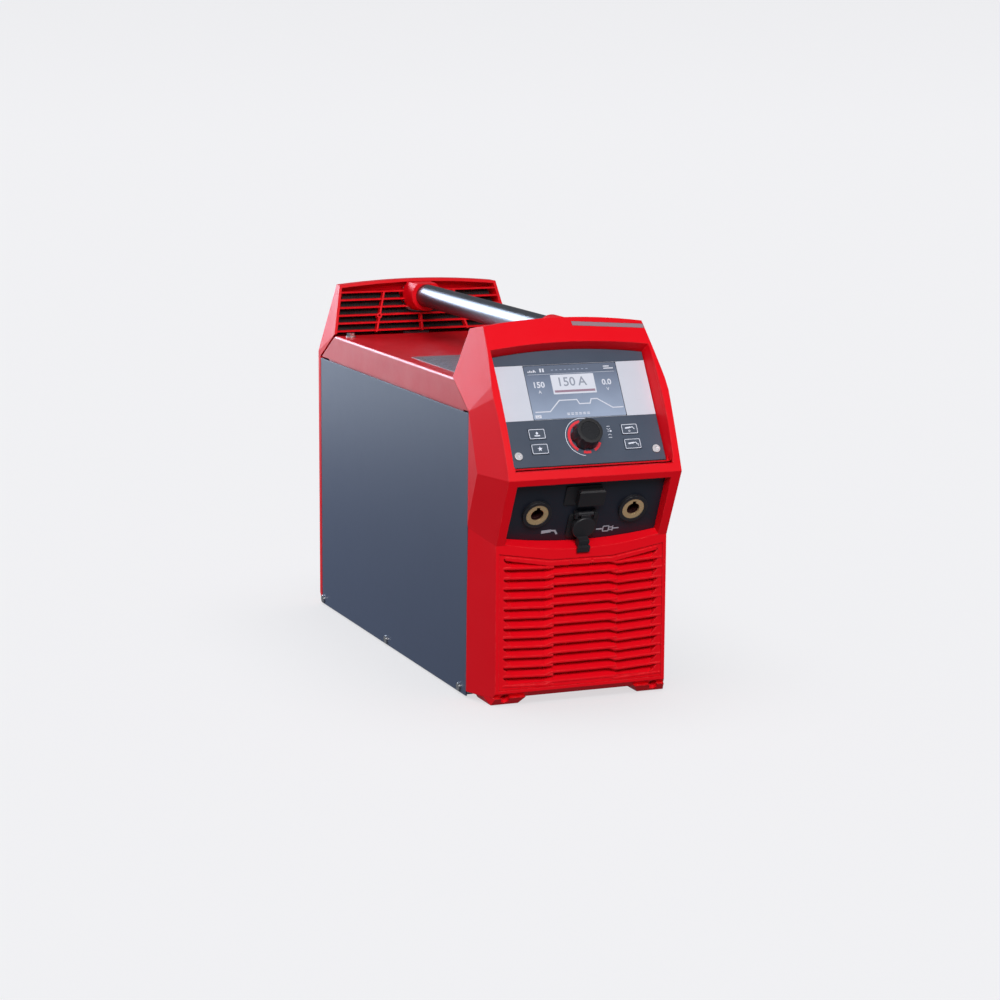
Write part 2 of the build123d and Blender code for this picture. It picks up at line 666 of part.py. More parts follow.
with BuildPart() as panel_carrier:
    with BuildSketch(FACE.offset(-PANEL_DEPTH - 4.0)):
        add(display_outline(4.0))
    extrude(amount=2.9)
    with BuildSketch(FACE.offset(-PANEL_DEPTH - 2.0)):
        add(display_outline(-0.3))
    extrude(amount=2.0)
    plane_slab(FACE, (-48.6, 49.6), (63.9, 121.1), (0, 20), mode=Mode.SUBTRACT)
    plane_rod(FACE, 0, DIAL_S, 5.5, (0, 20), mode=Mode.SUBTRACT)
    for x, s in KEYS.values():
        half_w, half_h = KEY_SIZE[0] / 2, KEY_SIZE[1] / 2
        plane_slab(FACE, (x - half_w, x + half_w), (s - half_h, s + half_h), (0, 20), Mode.SUBTRACT)
    for x, s in PANEL_SCREWS:
        plane_rod(FACE, x, s, 1.7, (0, 20), mode=Mode.SUBTRACT)
save(panel_carrier, "panel_carrier")

# printed overlays, one per colour band
with BuildPart() as overlay_silver:
    plane_slab(FACE, (-80.0, 80.0), (63.8, 121.2), (OVERLAY, PANEL_DEPTH))
    plane_slab(FACE, (-48.6, 49.6), (64.0, 121.0), (0, 20), mode=Mode.SUBTRACT)
save(overlay_silver, "overlay_silver")

with BuildPart() as overlay_slate:
    with BuildSketch(FACE.offset(-PANEL_DEPTH)):
        add(display_outline(-0.7))
    extrude(amount=0.4)
    plane_slab(FACE, (-90.0, 90.0), (63.7, 121.3), (0, 20), mode=Mode.SUBTRACT)
    plane_rod(FACE, 0, DIAL_S, 5.5, (0, 20), mode=Mode.SUBTRACT)
    for x, s in KEYS.values():
        half_w, half_h = KEY_SIZE[0] / 2, KEY_SIZE[1] / 2
        plane_slab(FACE, (x - half_w, x + half_w), (s - half_h, s + half_h), (0, 20), Mode.SUBTRACT)
    for x, s in PANEL_SCREWS:
        plane_rod(FACE, x, s, PANEL_SCREW_R + 0.4, (0, 20), mode=Mode.SUBTRACT)
save(overlay_slate, "overlay_slate")

with BuildPart() as panel_screws:
    for x, s in PANEL_SCREWS:
        plane_rod(FACE, x, s, PANEL_SCREW_R, (6.5, PANEL_DEPTH))
        plane_rod(FACE, x, s, 1.45, (PANEL_DEPTH, 14.0))
        plane_prism(FACE, x, s, 3.4, (6.0, 7.4), mode=Mode.SUBTRACT)
save(panel_screws, "panel_screws")

with BuildPart() as lcd_module:
    plane_slab(FACE, LCD_X, LCD_S, (OVERLAY + 0.1, 15.8))
    fillet(lcd_module.edges().filter_by(Axis((0, 0, 0), FACE.z_dir)), 1.0)
save(lcd_module, "lcd_module")

for name, (x, s) in KEYS.items():
    with BuildPart() as key:
        half_w, half_h = KEY_SIZE[0] / 2 - BODY_GAP, KEY_SIZE[1] / 2 - BODY_GAP
        plane_slab(FACE, (x - half_w, x + half_w), (s - half_h, s + half_h), (OVERLAY - 0.6, 13.4))
        plane_slab(
            FACE,
            (x - half_w - 1.4, x + half_w + 1.4),
            (s - half_h - 1.4, s + half_h + 1.4),
            (12.4, 13.4),
        )
        fillet(key.faces().sort_by(SortBy.AREA)[-1].edges(), 0.2)
    save(key, name)

with BuildPart() as key_mat:
    plane_slab(FACE, (-62.0, 62.0), (25.0, 58.0), (14.6, 15.6))
    for x, s in KEYS.values():
        plane_rod(FACE, x, s, 4.0, (14.2, 14.8))
    plane_slab(FACE, (-9.0, 9.0), (DIAL_S - 9.0, DIAL_S + 9.0), (10.0, 20.0), mode=Mode.SUBTRACT)
save(key_mat, "key_mat")

with BuildPart() as control_board:
    plane_slab(FACE, (-74.0, 74.0), (22.0, 126.0), (16.6, 18.2))
    plane_slab(FACE, (-9.0, 9.0), (DIAL_S - 9.0, DIAL_S + 9.0), (10.0, 20.0), mode=Mode.SUBTRACT)
    plane_slab(FACE, (-60.0, -36.0), (84.0, 108.0), (18.2, 20.0))
    plane_slab(FACE, (20.0, 52.0), (90.0, 100.0), (18.2, 24.0))
    plane_slab(FACE, (-20.0, 6.0), (82.0, 96.0), (18.2, 19.8))
save(control_board, "control_board")

with BuildPart() as encoder_body:
    plane_slab(FACE, (-7.5, 7.5), (DIAL_S - 7.5, DIAL_S + 7.5), (12.1, 24.0))
    plane_rod(FACE, 0, DIAL_S, 4.5 + RUN_FIT, (12.0, 22.6), mode=Mode.SUBTRACT)
save(encoder_body, "encoder_body")

with BuildPart() as encoder_plunger:
    plane_rod(FACE, 0, DIAL_S, 4.5, (13.0, 21.6))
    plane_rod(FACE, 0, DIAL_S, 3.0, (-5.0, 14.0))
save(encoder_plunger, "encoder_plunger")

with BuildPart() as dial_knob:
    knob_foot = FACE.offset(-(OVERLAY - 1.0))
    with Locations(knob_foot):
        with Locations((0, DIAL_S, 0)):
            Cone(14.2, 12.8, 15.0, align=(Align.CENTER, Align.CENTER, Align.MIN))
    # six finger scallops
    with Locations(knob_foot):
        with Locations((0, DIAL_S, 0)):
            with PolarLocations(18.6, 6, start_angle=30.0):
                Cylinder(
                    6.0, 20.0, align=(Align.CENTER, Align.CENTER, Align.MIN), mode=Mode.SUBTRACT
                )
    plane_rod(FACE, 0, DIAL_S, 9.6, (-9.0, -7.2), mode=Mode.SUBTRACT)
    plane_rod(FACE, 0, DIAL_S, 3.0 + RUN_FIT, (-5.4, 8.0), mode=Mode.SUBTRACT)
save(dial_knob, "dial_knob")

with BuildPart() as dial_cap:
    plane_rod(FACE, 0, DIAL_S, 9.5, (-8.0, -7.2))
save(dial_cap, "dial_cap")

RING_OUTER_R = 17.4
RING_INNER_R = 14.8
RING_GAPS = [(-126.0, -105.0), (-78.0, -62.0), (-25.0, 98.0)]


def ring_point(radius, angle):
    """Point on the display face at a polar place about the dial."""
    turn = math.radians(angle)
    return (radius * math.cos(turn), DIAL_S + radius * math.sin(turn))


with BuildPart() as dial_ring:
    plane_rod(FACE, 0, DIAL_S, RING_OUTER_R, (OVERLAY - 0.5, OVERLAY))
    plane_rod(FACE, 0, DIAL_S, RING_INNER_R, (0.0, 9.0), mode=Mode.SUBTRACT)
    # one long lit segment on the left and two short ones at the lower right
    for begin, end in RING_GAPS:
        middle = (begin + end) / 2
        reach = 2 * RING_OUTER_R
        with BuildSketch(FACE.offset(-9.0)):
            with BuildLine():
                Polyline(
                    (0, DIAL_S),
                    ring_point(reach, begin),
                    ring_point(reach, middle),
                    ring_point(reach, end),
                    (0, DIAL_S),
                )
            make_face()
        extrude(amount=9.0, mode=Mode.SUBTRACT)
save(dial_ring, "dial_ring")


# ---------------------------------------------------------------- socket panel
with BuildPart() as socket_panel:
    with BuildSketch(UNDER.offset(-SOCKET_DEPTH - 4.0)):
        add(socket_outline(4.0))
    extrude(amount=2.9)
    with BuildSketch(UNDER.offset(-SOCKET_DEPTH - 2.0)):
        add(socket_outline(-0.3))
    extrude(amount=2.0)
    for side in (-1, 1):
        plane_rod(UNDER, side * SOCKET_X, SOCKET_T, 13.0, (0, 20), mode=Mode.SUBTRACT)
    plane_rod(UNDER, 0, 13.5, 10.3, (0, 20), mode=Mode.SUBTRACT)
    plane_slab(UNDER, (-9.0, 12.0), (42.0, 54.0), (0, 20), mode=Mode.SUBTRACT)
save(socket_panel, "socket_panel")

with BuildPart() as socket_insulators:
    for side in (-1, 1):
        plane_rod(UNDER, side * SOCKET_X, SOCKET_T, 14.7, (5.5, SOCKET_DEPTH))
        plane_rod(UNDER, side * SOCKET_X, SOCKET_T, 12.8, (SOCKET_DEPTH, 20.0))
        plane_rod(UNDER, side * SOCKET_X, SOCKET_T, 11.4, (0.0, 30.0), mode=Mode.SUBTRACT)
save(socket_insulators, "socket_insulators")

with BuildPart() as socket_inserts:
    for side in (-1, 1):
        plane_rod(UNDER, side * SOCKET_X, SOCKET_T, 11.3, (5.9, 26.0))
        plane_rod(UNDER, side * SOCKET_X, SOCKET_T, 5.0, (26.0, 38.0))
        plane_rod(UNDER, side * SOCKET_X, SOCKET_T, PLUG_BORE_R, (0.0, 24.0), mode=Mode.SUBTRACT)
        # keyway and turning groove for the pip of a bayonet plug
        keyway = (side * SOCKET_X - 1.8, side * SOCKET_X + 1.8)
        plane_slab(UNDER, keyway, (SOCKET_T, SOCKET_T + 8.6), (0.0, 11.0), mode=Mode.SUBTRACT)
        plane_rod(UNDER, side * SOCKET_X, SOCKET_T, 8.6, (9.0, 11.0), mode=Mode.SUBTRACT)
save(socket_inserts, "socket_inserts")

with BuildPart() as socket_nuts:
    for side in (-1, 1):
        plane_prism(UNDER, side * SOCKET_X, SOCKET_T, 32.0, (13.1, 18.5))
        plane_rod(UNDER, side * SOCKET_X, SOCKET_T, 12.9, (0.0, 30.0), mode=Mode.SUBTRACT)
save(socket_nuts, "socket_nuts")

with BuildPart() as busbars:
    bend = on_plane(UNDER, 0, 46.0, 27.6)
    for side in (-1, 1):
        edge = (side * SOCKET_X - 9.0, side * SOCKET_X + 9.0)
        plane_slab(UNDER, edge, (20.0, 46.0), (26.1, 29.1))
        slab(edge, (bend.Y - 0.6, -120.0), (bend.Z - 3.0, bend.Z))
        plane_rod(UNDER, side * SOCKET_X, SOCKET_T, 5.2, (20.0, 40.0), mode=Mode.SUBTRACT)
save(busbars, "busbars")

with BuildPart() as control_socket:
    plane_rod(UNDER, 0, 13.5, 10.0, (4.5, 24.0))
    plane_rod(UNDER, 0, 13.5, 8.4, (4.0, 16.0), mode=Mode.SUBTRACT)
    with Locations(UNDER.offset(-16.5)):
        with Locations((0, 13.5, 0)):
            with PolarLocations(4.6, 5):
                Cylinder(0.9, 7.0, align=(Align.CENTER, Align.CENTER, Align.MIN))
    plane_rod(UNDER, 0, 13.5, 12.5, (13.1, 15.4))
save(control_socket, "control_socket")

HINGE_T = 28.0
HINGE_DEPTH = 5.0
with BuildPart() as connector_frame:
    plane_slab(UNDER, (-15.5, 15.5), (-1.0, 26.0), (7.2, SOCKET_DEPTH))
    fillet(connector_frame.edges().filter_by(Axis((0, 0, 0), UNDER.z_dir)), 4.0)
    plane_rod(UNDER, 0, 13.5, 10.3, (0, 20), mode=Mode.SUBTRACT)
    # two ears carry the hinge pin of the cap
    for side in (-1, 1):
        ear = sorted((side * 8.4, side * 11.4))
        plane_slab(UNDER, ear, (24.0, HINGE_T + 2.4), (HINGE_DEPTH - 2.4, SOCKET_DEPTH))
    pin_at = on_plane(UNDER, -12.0, HINGE_T, HINGE_DEPTH)
    rod(pin_at, (1, 0, 0), 1.2, 24.0)
save(connector_frame, "connector_frame")

with BuildPart() as connector_cap:
    plane_rod(UNDER, 0, 12.6, 12.0, (1.4, 6.8))
    plane_rod(UNDER, 0, 13.5, 10.3, (4.0, 8.0), mode=Mode.SUBTRACT)
    fillet(connector_cap.faces().sort_by(Axis.Y)[0].edges(), 1.2)
    # hinge strap and eye
    plane_slab(UNDER, (-5.0, 5.0), (22.0, HINGE_T), (2.2, 4.4))
    rod(on_plane(UNDER, -8.0, HINGE_T, HINGE_DEPTH), (1, 0, 0), 2.4, 16.0)
    rod(
        on_plane(UNDER, -10.0, HINGE_T, HINGE_DEPTH),
        (1, 0, 0),
        1.2 + RUN_FIT,
        20.0,
        mode=Mode.SUBTRACT,
    )
    # finger tab
    plane_slab(UNDER, (-5.4, 5.4), (-5.0, 3.0), (-5.0, 3.0))
    plane_slab(UNDER, (-6.4, 6.4), (-9.0, -3.0), (-7.4, -4.6))
save(connector_cap, "connector_cap")

with BuildPart() as accessory_plate:
    plane_slab(UNDER, (-24.0, 13.0), (37.5, 59.0), (7.6, SOCKET_DEPTH))
    fillet(accessory_plate.edges().filter_by(Axis((0, 0, 0), UNDER.z_dir)), 2.0)
    plane_slab(UNDER, (-8.7, 11.7), (42.3, 53.7), (0, 20), mode=Mode.SUBTRACT)
save(accessory_plate, "accessory_plate")

with BuildPart() as accessory_cover:
    plane_slab(UNDER, (-12.0, 15.0), (39.5, 56.5), (1.0, 7.5))
    chamfer(accessory_cover.faces().sort_by(Axis.Y)[0].edges(), 1.5)
    plane_slab(UNDER, (-8.5, 11.5), (42.5, 53.5), (7.5, 16.0))
save(accessory_cover, "accessory_cover")


# ---------------------------------------------------------------- rear panel and its fittings
SWITCH_AT = (-50.0, 225.0)
GLAND_AT = (50.0, 225.0)
GAS_AT = (50.0, 168.0)
REAR = Plane(origin=(0, 252.9, 0), x_dir=(-1, 0, 0), z_dir=(0, 1, 0))

with BuildPart() as rear_panel:
    slab((-99.0, 99.0), (251.4, 252.9), (10.0, 280.0))
    plane_rod(REAR, -SWITCH_AT[0], SWITCH_AT[1], 10.8, (-5, 10), mode=Mode.SUBTRACT)
    plane_rod(REAR, -GLAND_AT[0], GLAND_AT[1], 12.2, (-5, 10), mode=Mode.SUBTRACT)
    plane_rod(REAR, -GAS_AT[0], GAS_AT[1], 7.2, (-5, 10), mode=Mode.SUBTRACT)
    with Locations([(0, 252.0, 30.0 + 10.0 * row) for row in range(11)]):
        Box(130.0, 8.0, 4.0, mode=Mode.SUBTRACT)
    for x, z in REAR_SCREWS:
        rod((x, 240.0, z), (0, 1, 0), 1.7, 30.0, mode=Mode.SUBTRACT)
save(rear_panel, "rear_panel")

with BuildPart() as switch_body:
    slab((-72.0, -28.0), (205.0, 251.2), (203.0, 247.0))
    slab((-76.0, -24.0), (253.0, 255.2), (199.0, 251.0))
    fillet(switch_body.faces().sort_by(Axis.Y)[-1].edges(), 1.0)
    plane_rod(REAR, -SWITCH_AT[0], SWITCH_AT[1], 10.0, (-2.5, 2.0))
    plane_rod(REAR, -SWITCH_AT[0], SWITCH_AT[1], 4.0 + RUN_FIT, (-6.0, 30.0), mode=Mode.SUBTRACT)
save(switch_body, "switch_body")

with BuildPart() as switch_knob:
    plane_rod(REAR, -SWITCH_AT[0], SWITCH_AT[1], 19.0, (-12.5, -5.6))
    chamfer(switch_knob.faces().sort_by(Axis.Y)[-1].edges(), 1.5)
    slab(
        (SWITCH_AT[0] - 5.0, SWITCH_AT[0] + 5.0),
        (265.0, 274.5),
        (SWITCH_AT[1] - 16.5, SWITCH_AT[1] + 16.5),
    )
    plane_rod(REAR, -SWITCH_AT[0], SWITCH_AT[1], 4.0, (-6.0, 28.0))
save(switch_knob, "switch_knob")

with BuildPart() as cable_gland:
    plane_rod(REAR, -GLAND_AT[0], GLAND_AT[1], 12.0, (0.0, 14.0))
    plane_prism(REAR, -GLAND_AT[0], GLAND_AT[1], 30.0, (-6.0, -0.1))
    plane_rod(REAR, -GLAND_AT[0], GLAND_AT[1], 10.5, (-14.0, -5.0))
    plane_rod(REAR, -GLAND_AT[0], GLAND_AT[1], 6.6, (-20.0, 20.0), mode=Mode.SUBTRACT)
save(cable_gland, "cable_gland")

with BuildPart() as gland_nut:
    plane_prism(REAR, -GLAND_AT[0], GLAND_AT[1], 28.0, (-15.0, -6.2))
    with Locations(REAR.offset(15.0)):
        with Locations((-GLAND_AT[0], GLAND_AT[1], 0)):
            Cone(13.0, 9.4, 6.5, align=(Align.CENTER, Align.CENTER, Align.MIN))
    plane_rod(REAR, -GLAND_AT[0], GLAND_AT[1], 10.8, (-14.6, -3.0), mode=Mode.SUBTRACT)
    plane_rod(REAR, -GLAND_AT[0], GLAND_AT[1], 6.6, (-30.0, 20.0), mode=Mode.SUBTRACT)
save(gland_nut, "gland_nut")

with BuildPart() as gas_connector:
    plane_rod(REAR, -GAS_AT[0], GAS_AT[1], 7.0, (0.0, 12.0))
    plane_prism(REAR, -GAS_AT[0], GAS_AT[1], 19.0, (-8.0, -0.1))
    for barb in range(3):
        with Locations(REAR.offset(8.0 + 6.0 * barb)):
            with Locations((-GAS_AT[0], GAS_AT[1], 0)):
                Cone(4.9, 3.8, 6.1, align=(Align.CENTER, Align.CENTER, Align.MIN))
    plane_rod(REAR, -GAS_AT[0], GAS_AT[1], 2.6, (-40.0, 20.0), mode=Mode.SUBTRACT)
save(gas_connector, "gas_connector")

VALVE_Y = (212.0, 234.0)
with BuildPart() as gas_valve:
    slab((39.0, 61.0), VALVE_Y, (157.0, 179.0))
    slab((38.0, 62.0), (211.0, 235.0), (179.0, 204.0))
    rod((GAS_AT[0], 234.0, GAS_AT[1]), (0, 1, 0), 5.0, 6.5)
    rod((GAS_AT[0], 212.0, GAS_AT[1]), (0, -1, 0), 4.2, 10.0)
    rod((GAS_AT[0], 200.0, GAS_AT[1]), (0, 1, 0), 2.4, 50.0, mode=Mode.SUBTRACT)
    rod((GAS_AT[0], 223.0, 172.0), (0, 0, 1), 4.0 + RUN_FIT, 29.0, mode=Mode.SUBTRACT)
save(gas_valve, "gas_valve")

with BuildPart() as valve_plunger:
    rod((GAS_AT[0], 223.0, 173.0), (0, 0, 1), 4.0, 25.0)
save(valve_plunger, "valve_plunger")


# ---------------------------------------------------------------- fan and bulkhead
FAN_Z = 79.5
FAN_Y = (-228.0, -190.0)
with BuildPart() as fan_frame:
    slab((-59.5, 59.5), FAN_Y, (20.0, 139.0))
    fillet(fan_frame.edges().filter_by(Axis.Y), 5.0)
    rod((0, -230.0, FAN_Z), (0, 1, 0), 56.5, 50.0, mode=Mode.SUBTRACT)
    # motor base on four struts at the outlet side
    rod((0, -201.0, FAN_Z), (0, 1, 0), 19.0, 11.0)
    slab((-58.0, 58.0), (-195.0, -190.0), (FAN_Z - 2.5, FAN_Z + 2.5))
    slab((-2.5, 2.5), (-195.0, -190.0), (22.0, 137.0))
    rod((0, -222.0, FAN_Z), (0, 1, 0), 3.0, 24.0)
    for x in (-52.5, 52.5):
        for z in (27.0, 132.0):
            rod((x, -230.0, z), (0, 1, 0), 2.2, 50.0, mode=Mode.SUBTRACT)
save(fan_frame, "fan_frame")

with BuildPart() as fan_rotor:
    rod((0, -225.0, FAN_Z), (0, 1, 0), 21.0, 22.5)
    fillet(fan_rotor.faces().sort_by(Axis.Y)[0].edges(), 2.0)
    with Locations(Plane(origin=(0, -214.0, FAN_Z), z_dir=(0, 1, 0))):
        with PolarLocations(0.0, 7):
            with Locations(Location((37.0, 0, 0), (38, 0, 0))):
                Box(35.0, 26.0, 1.8)
    rod((0, -222.4, FAN_Z), (0, 1, 0), 3.0 + RUN_FIT, 30.0, mode=Mode.SUBTRACT)
save(fan_rotor, "fan_rotor")

with BuildPart() as fan_bulkhead:
    slab((-96.0, 96.0), (-189.8, -188.3), (4.8, 285.0))
    slab((-96.0, 96.0), (-188.3, -176.0), (4.8, 6.3))
    rod((0, -200.0, FAN_Z), (0, 1, 0), 56.0, 30.0, mode=Mode.SUBTRACT)
    for side in (-1, 1):
        edge = (side * SOCKET_X - 11.0, side * SOCKET_X + 11.0)
        slab(edge, (-195.0, -180.0), (200.0, 217.0), mode=Mode.SUBTRACT)
    slab((-30.0, 30.0), (-195.0, -180.0), (235.0, 260.0), mode=Mode.SUBTRACT)
save(fan_bulkhead, "fan_bulkhead")


# ---------------------------------------------------------------- power electronics
SINK_Y = (-165.0, 60.0)
with BuildPart() as heatsink:
    slab((-70.0, 70.0), SINK_Y, (96.0, 104.0))
    with Locations([(x * 8.5, (SINK_Y[0] + SINK_Y[1]) / 2, 65.0) for x in range(-8, 9)]):
        Box(2.0, SINK_Y[1] - SINK_Y[0], 64.0)
    # posts that carry the power board
    with Locations([(x, y, 115.0) for x in (-66.0, 66.0) for y in (-158.0, 52.0)]):
        Cylinder(3.5, 21.8)
save(heatsink, "heatsink")

with BuildPart() as chassis_rails:
    for side in (-1, 1):
        slab(sorted((side * 72.0, side * 70.2)), SINK_Y, (4.8, 104.0))
        slab(sorted((side * 84.0, side * 70.2)), SINK_Y, (4.8, 6.4))
    # cradle of the transformer
    slab((-80.0, 0.0), (88.0, 168.0), (4.8, 6.4))
    for x in (-76.0, -6.0):
        slab((x, x + 2.0), (96.0, 160.0), (4.8, 23.9))
save(chassis_rails, "chassis_rails")

with BuildPart() as power_modules:
    for y in (-140.0, -85.0, -30.0, 25.0):
        slab((-62.0, -8.0), (y - 17.0, y + 17.0), (104.1, 119.0))
    for y in (-120.0, -60.0, 0.0):
        slab((10.0, 44.0), (y - 17.0, y + 17.0), (104.1, 116.0))
save(power_modules, "power_modules")

with BuildPart() as power_board:
    slab((-80.0, 80.0), (-172.0, 66.0), (126.0, 127.6))
save(power_board, "power_board")

CAP_PLACES = [(x, y) for x in (20.0, 60.0) for y in (-60.0, -15.0, 30.0)]
with BuildPart() as capacitors:
    for x, y in CAP_PLACES:
        rod((x, y, 127.7), (0, 0, 1), 17.5, 50.0)
    fillet(capacitors.faces().filter_by(Axis.Z).group_by(Axis.Z)[-1].edges(), 1.5)
save(capacitors, "capacitors")

with BuildPart() as chokes:
    for x, y, z, outer, inner, height in (
        (-40.0, -90.0, 128.0, 32.0, 14.0, 28.0),
        (46.0, 125.0, 5.0, 36.0, 15.0, 42.0),
    ):
        rod((x, y, z), (0, 0, 1), outer, height)
        rod((x, y, z), (0, 0, 1), inner, height, mode=Mode.SUBTRACT)
    fillet(chokes.edges().filter_by(GeomType.CIRCLE), 5.0)
save(chokes, "chokes")

with BuildPart() as transformer_core:
    slab((-76.0, -4.0), (92.0, 164.0), (24.0, 96.0))
    slab((-62.0, -48.0), (80.0, 180.0), (38.0, 82.0), mode=Mode.SUBTRACT)
    slab((-32.0, -18.0), (80.0, 180.0), (38.0, 82.0), mode=Mode.SUBTRACT)
save(transformer_core, "transformer_core")

with BuildPart() as transformer_winding:
    slab((-61.8, -18.2), (84.0, 172.0), (39.0, 81.0))
    fillet(transformer_winding.edges().filter_by(Axis.Z), 8.0)
    slab((-48.2, -31.8), (91.6, 164.4), (30.0, 90.0), mode=Mode.SUBTRACT)
save(transformer_winding, "transformer_winding")
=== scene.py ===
"""Looks of the portable TIG welding inverter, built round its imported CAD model."""

import json
import math

import bmesh
import bpy
from mathutils import Matrix, Vector


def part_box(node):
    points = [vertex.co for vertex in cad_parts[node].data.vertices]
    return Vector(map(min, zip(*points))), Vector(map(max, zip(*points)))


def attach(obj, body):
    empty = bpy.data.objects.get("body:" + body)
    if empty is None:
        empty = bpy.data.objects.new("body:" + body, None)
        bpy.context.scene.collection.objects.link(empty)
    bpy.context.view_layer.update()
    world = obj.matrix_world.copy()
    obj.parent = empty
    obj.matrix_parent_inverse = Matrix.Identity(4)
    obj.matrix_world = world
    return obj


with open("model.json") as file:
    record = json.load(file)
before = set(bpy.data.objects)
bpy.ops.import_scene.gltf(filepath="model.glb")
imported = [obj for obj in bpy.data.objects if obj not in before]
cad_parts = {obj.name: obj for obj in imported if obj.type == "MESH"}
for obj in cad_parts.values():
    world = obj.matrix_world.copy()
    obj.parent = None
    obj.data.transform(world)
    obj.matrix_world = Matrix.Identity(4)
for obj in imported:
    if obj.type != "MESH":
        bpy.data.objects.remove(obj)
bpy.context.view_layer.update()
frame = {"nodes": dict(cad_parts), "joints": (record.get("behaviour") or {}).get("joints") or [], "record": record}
nodes = frame["nodes"]
record = frame["record"]
joints = {j["name"]: j for j in frame["joints"]}
mounts = {m["name"]: m for m in record["mounts"]}
MM = 0.001

# ------------------------------------------------------------------ measures, in millimetres
# where the dial and the plus socket stand on their local planes: x, s, depth
DIAL_AT = (0.0, 44.0, 0.0)
PLUS_SOCKET_AT = (50.4, 29.3, 17.5)
# the display's gradient runs between these two s values, at this depth behind the face
DISPLAY_S = (64.0, 121.0)
DISPLAY_DEPTH = 8.0
# thickness of the prints on films and keys, on the display, on the socket panel and on the plate
INK_THICK, SCREEN_INK_THICK, SOCKET_INK_THICK, PLATE_INK_THICK = 0.06, 0.04, 0.1, 0.03
# layers of the display's picture, over its glass
PICTURE_PROUD, MARKS_PROUD, VALUE_PROUD = 0.03, 0.05, 0.09
# printed arc round the dial: radius, and from and to in degrees
DIAL_SCALE_R, DIAL_SCALE_TURN = 19.4, (66, 262)
# a font's size over the height of its capitals
FONT_SIZE_PER_HEIGHT = 1.37
# the bore of a socket is painted dark from this depth on, over this fade: painted shade in the deep bore
BORE_SHADE_FROM, BORE_SHADE_FADE = 6.8, 1.2
# the socket panel's face, behind the undercut face
SOCKET_FACE = 9.0
# a key's retaining lip is this much wider than its top, and its outline this far inside the top
KEY_LIP, KEY_OUTLINE_IN = 1.4, 0.8
# rating plate on the cover: x from and to, y from and to, corner radius, thickness
PLATE, PLATE_CORNER, PLATE_THICK = (-89.0, 89.0, -156.0, -6.0), 3.0, 0.25
PLATE_ROW_PITCH, PLATE_ROWS, PLATE_FIRST_RULE = 15.5, 8, -20.0
PLATE_COLUMNS = (-82.0, -38.0, -6.0, 24.0, 52.0, 82.0)
RULE_HALF, WORD_HALF, WORD_LONGEST = 0.35, 1.0, 21.0
# dark screen behind the slats, painted shade in the louvre's cavity: how far behind the slats and how thick,
# half width at the foot, how much less at the head and how far past the slats' head
SCREEN_BEHIND, SCREEN_THICK = 10.4, 0.8
SCREEN_HALF, SCREEN_TAPER, SCREEN_OVER = 97.5, 11.5, 1.5
HANDLE_RADIUS, BOSS_CLEAR = 12.5, 20.2
WIRE, WIRE_PITCH = 0.5, 3.1
# the slats' ends lie beyond this x, and their foot and head are sought within this height
SLAT_END_X, SLAT_END_BAND = 80.0, 2.0
# dark seam strips beside the cover, painted shade in the gaps: short of the panel's front and back,
# lapped on panel and cover, and their back, edge and crown in from the panel's outer face
SEAM_FRONT, SEAM_BACK = 7.0, 1.0
SEAM_LAP_PANEL, SEAM_LAP_COVER = 0.1, 0.2
SEAM_DEEP, SEAM_EDGE, SEAM_CROWN = 1.6, 0.5, 0.2

# ------------------------------------------------------------------ studio, in metres and watts
BACKDROP = (0.878, 0.878, 0.896)
AMBIENT = (0.15, 0.155, 0.17)
FLOOR_TONE = (0.30, 0.30, 0.305)
FLOOR_GLOW = 0.735
FLOOR_SUN, FLOOR_SUN_ANGLE = 1.95, 70.0
FLOOR_REACH, COVE, COVE_STEPS, FLOOR_TURNS = 14.0, 6.0, 12, 96
# camera: azimuth, elevation and roll in degrees, its aim, distance and lens
CAMERA_TURN = (-21.96, 10.27, 0.31)
CAMERA_AIM, CAMERA_AIM_RIGHT = (0.0, 0.0, 0.1556), 0.01252
CAMERA_DISTANCE = 2.7548
CAMERA_LENS, CAMERA_SENSOR, CAMERA_CLIP = 94.06, 36.0, 60.0
# name, place and aim in metres, width and height, watts, tint
SOFTBOXES = (
    ("key", (-0.40, -2.3, 1.65), (0, -0.1, 0.2), (1.6, 1.0), 58.0, (1.0, 0.98, 0.97)),
    ("top", (-0.1, -0.2, 2.4), (0, 0, 0.2), (1.4, 1.4), 6.0, (0.97, 0.98, 1.0)),
    ("back", (-0.95, 1.70, 0.85), (0, 0, 0.25), (1.5, 1.0), 50.0, (0.72, 0.84, 1.0)),
    ("low_back", (-0.62, 1.50, 0.16), (0, 0.1, 0.25), (0.6, 0.3), 1.0, (0.84, 0.91, 1.0)),
    ("left", (-2.4, -0.6, 0.9), (0, 0, 0.2), (1.0, 1.0), 7.0, (0.95, 0.97, 1.0)),
)

# ------------------------------------------------------------------ local planes
# FACE lies on the chord of the display face, UNDER on the undercut face, COVER on the cover's top.
# Local (x, s, depth) is in millimetres, depth counted into the machine.


class LocalPlane:
    """Plane across the machine through a point of the CAD, with x to the right and s up the slope."""

    def __init__(self, anchor, normal, at):
        self.n = Vector(normal).normalized()
        self.x = Vector((1, 0, 0))
        self.up = self.n.cross(self.x).normalized()
        x, s, depth = at
        self.origin = Vector(anchor) - self.x * x * MM - self.up * s * MM + self.n * depth * MM

    def at(self, x, s, depth=0.0):
        return self.origin + self.x * x * MM + self.up * s * MM - self.n * depth * MM


dial, plus_socket = joints["dial_turn"], mounts["plus_socket"]
FACE = LocalPlane(dial["pos_m"], dial["axis"], DIAL_AT)
UNDER = LocalPlane(plus_socket["pos_m"], plus_socket["axis"], PLUS_SOCKET_AT)
cover_low, cover_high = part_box("top_cover")
COVER = LocalPlane((0, 0, cover_high.z), (0, 0, 1), (0, 0, 0))


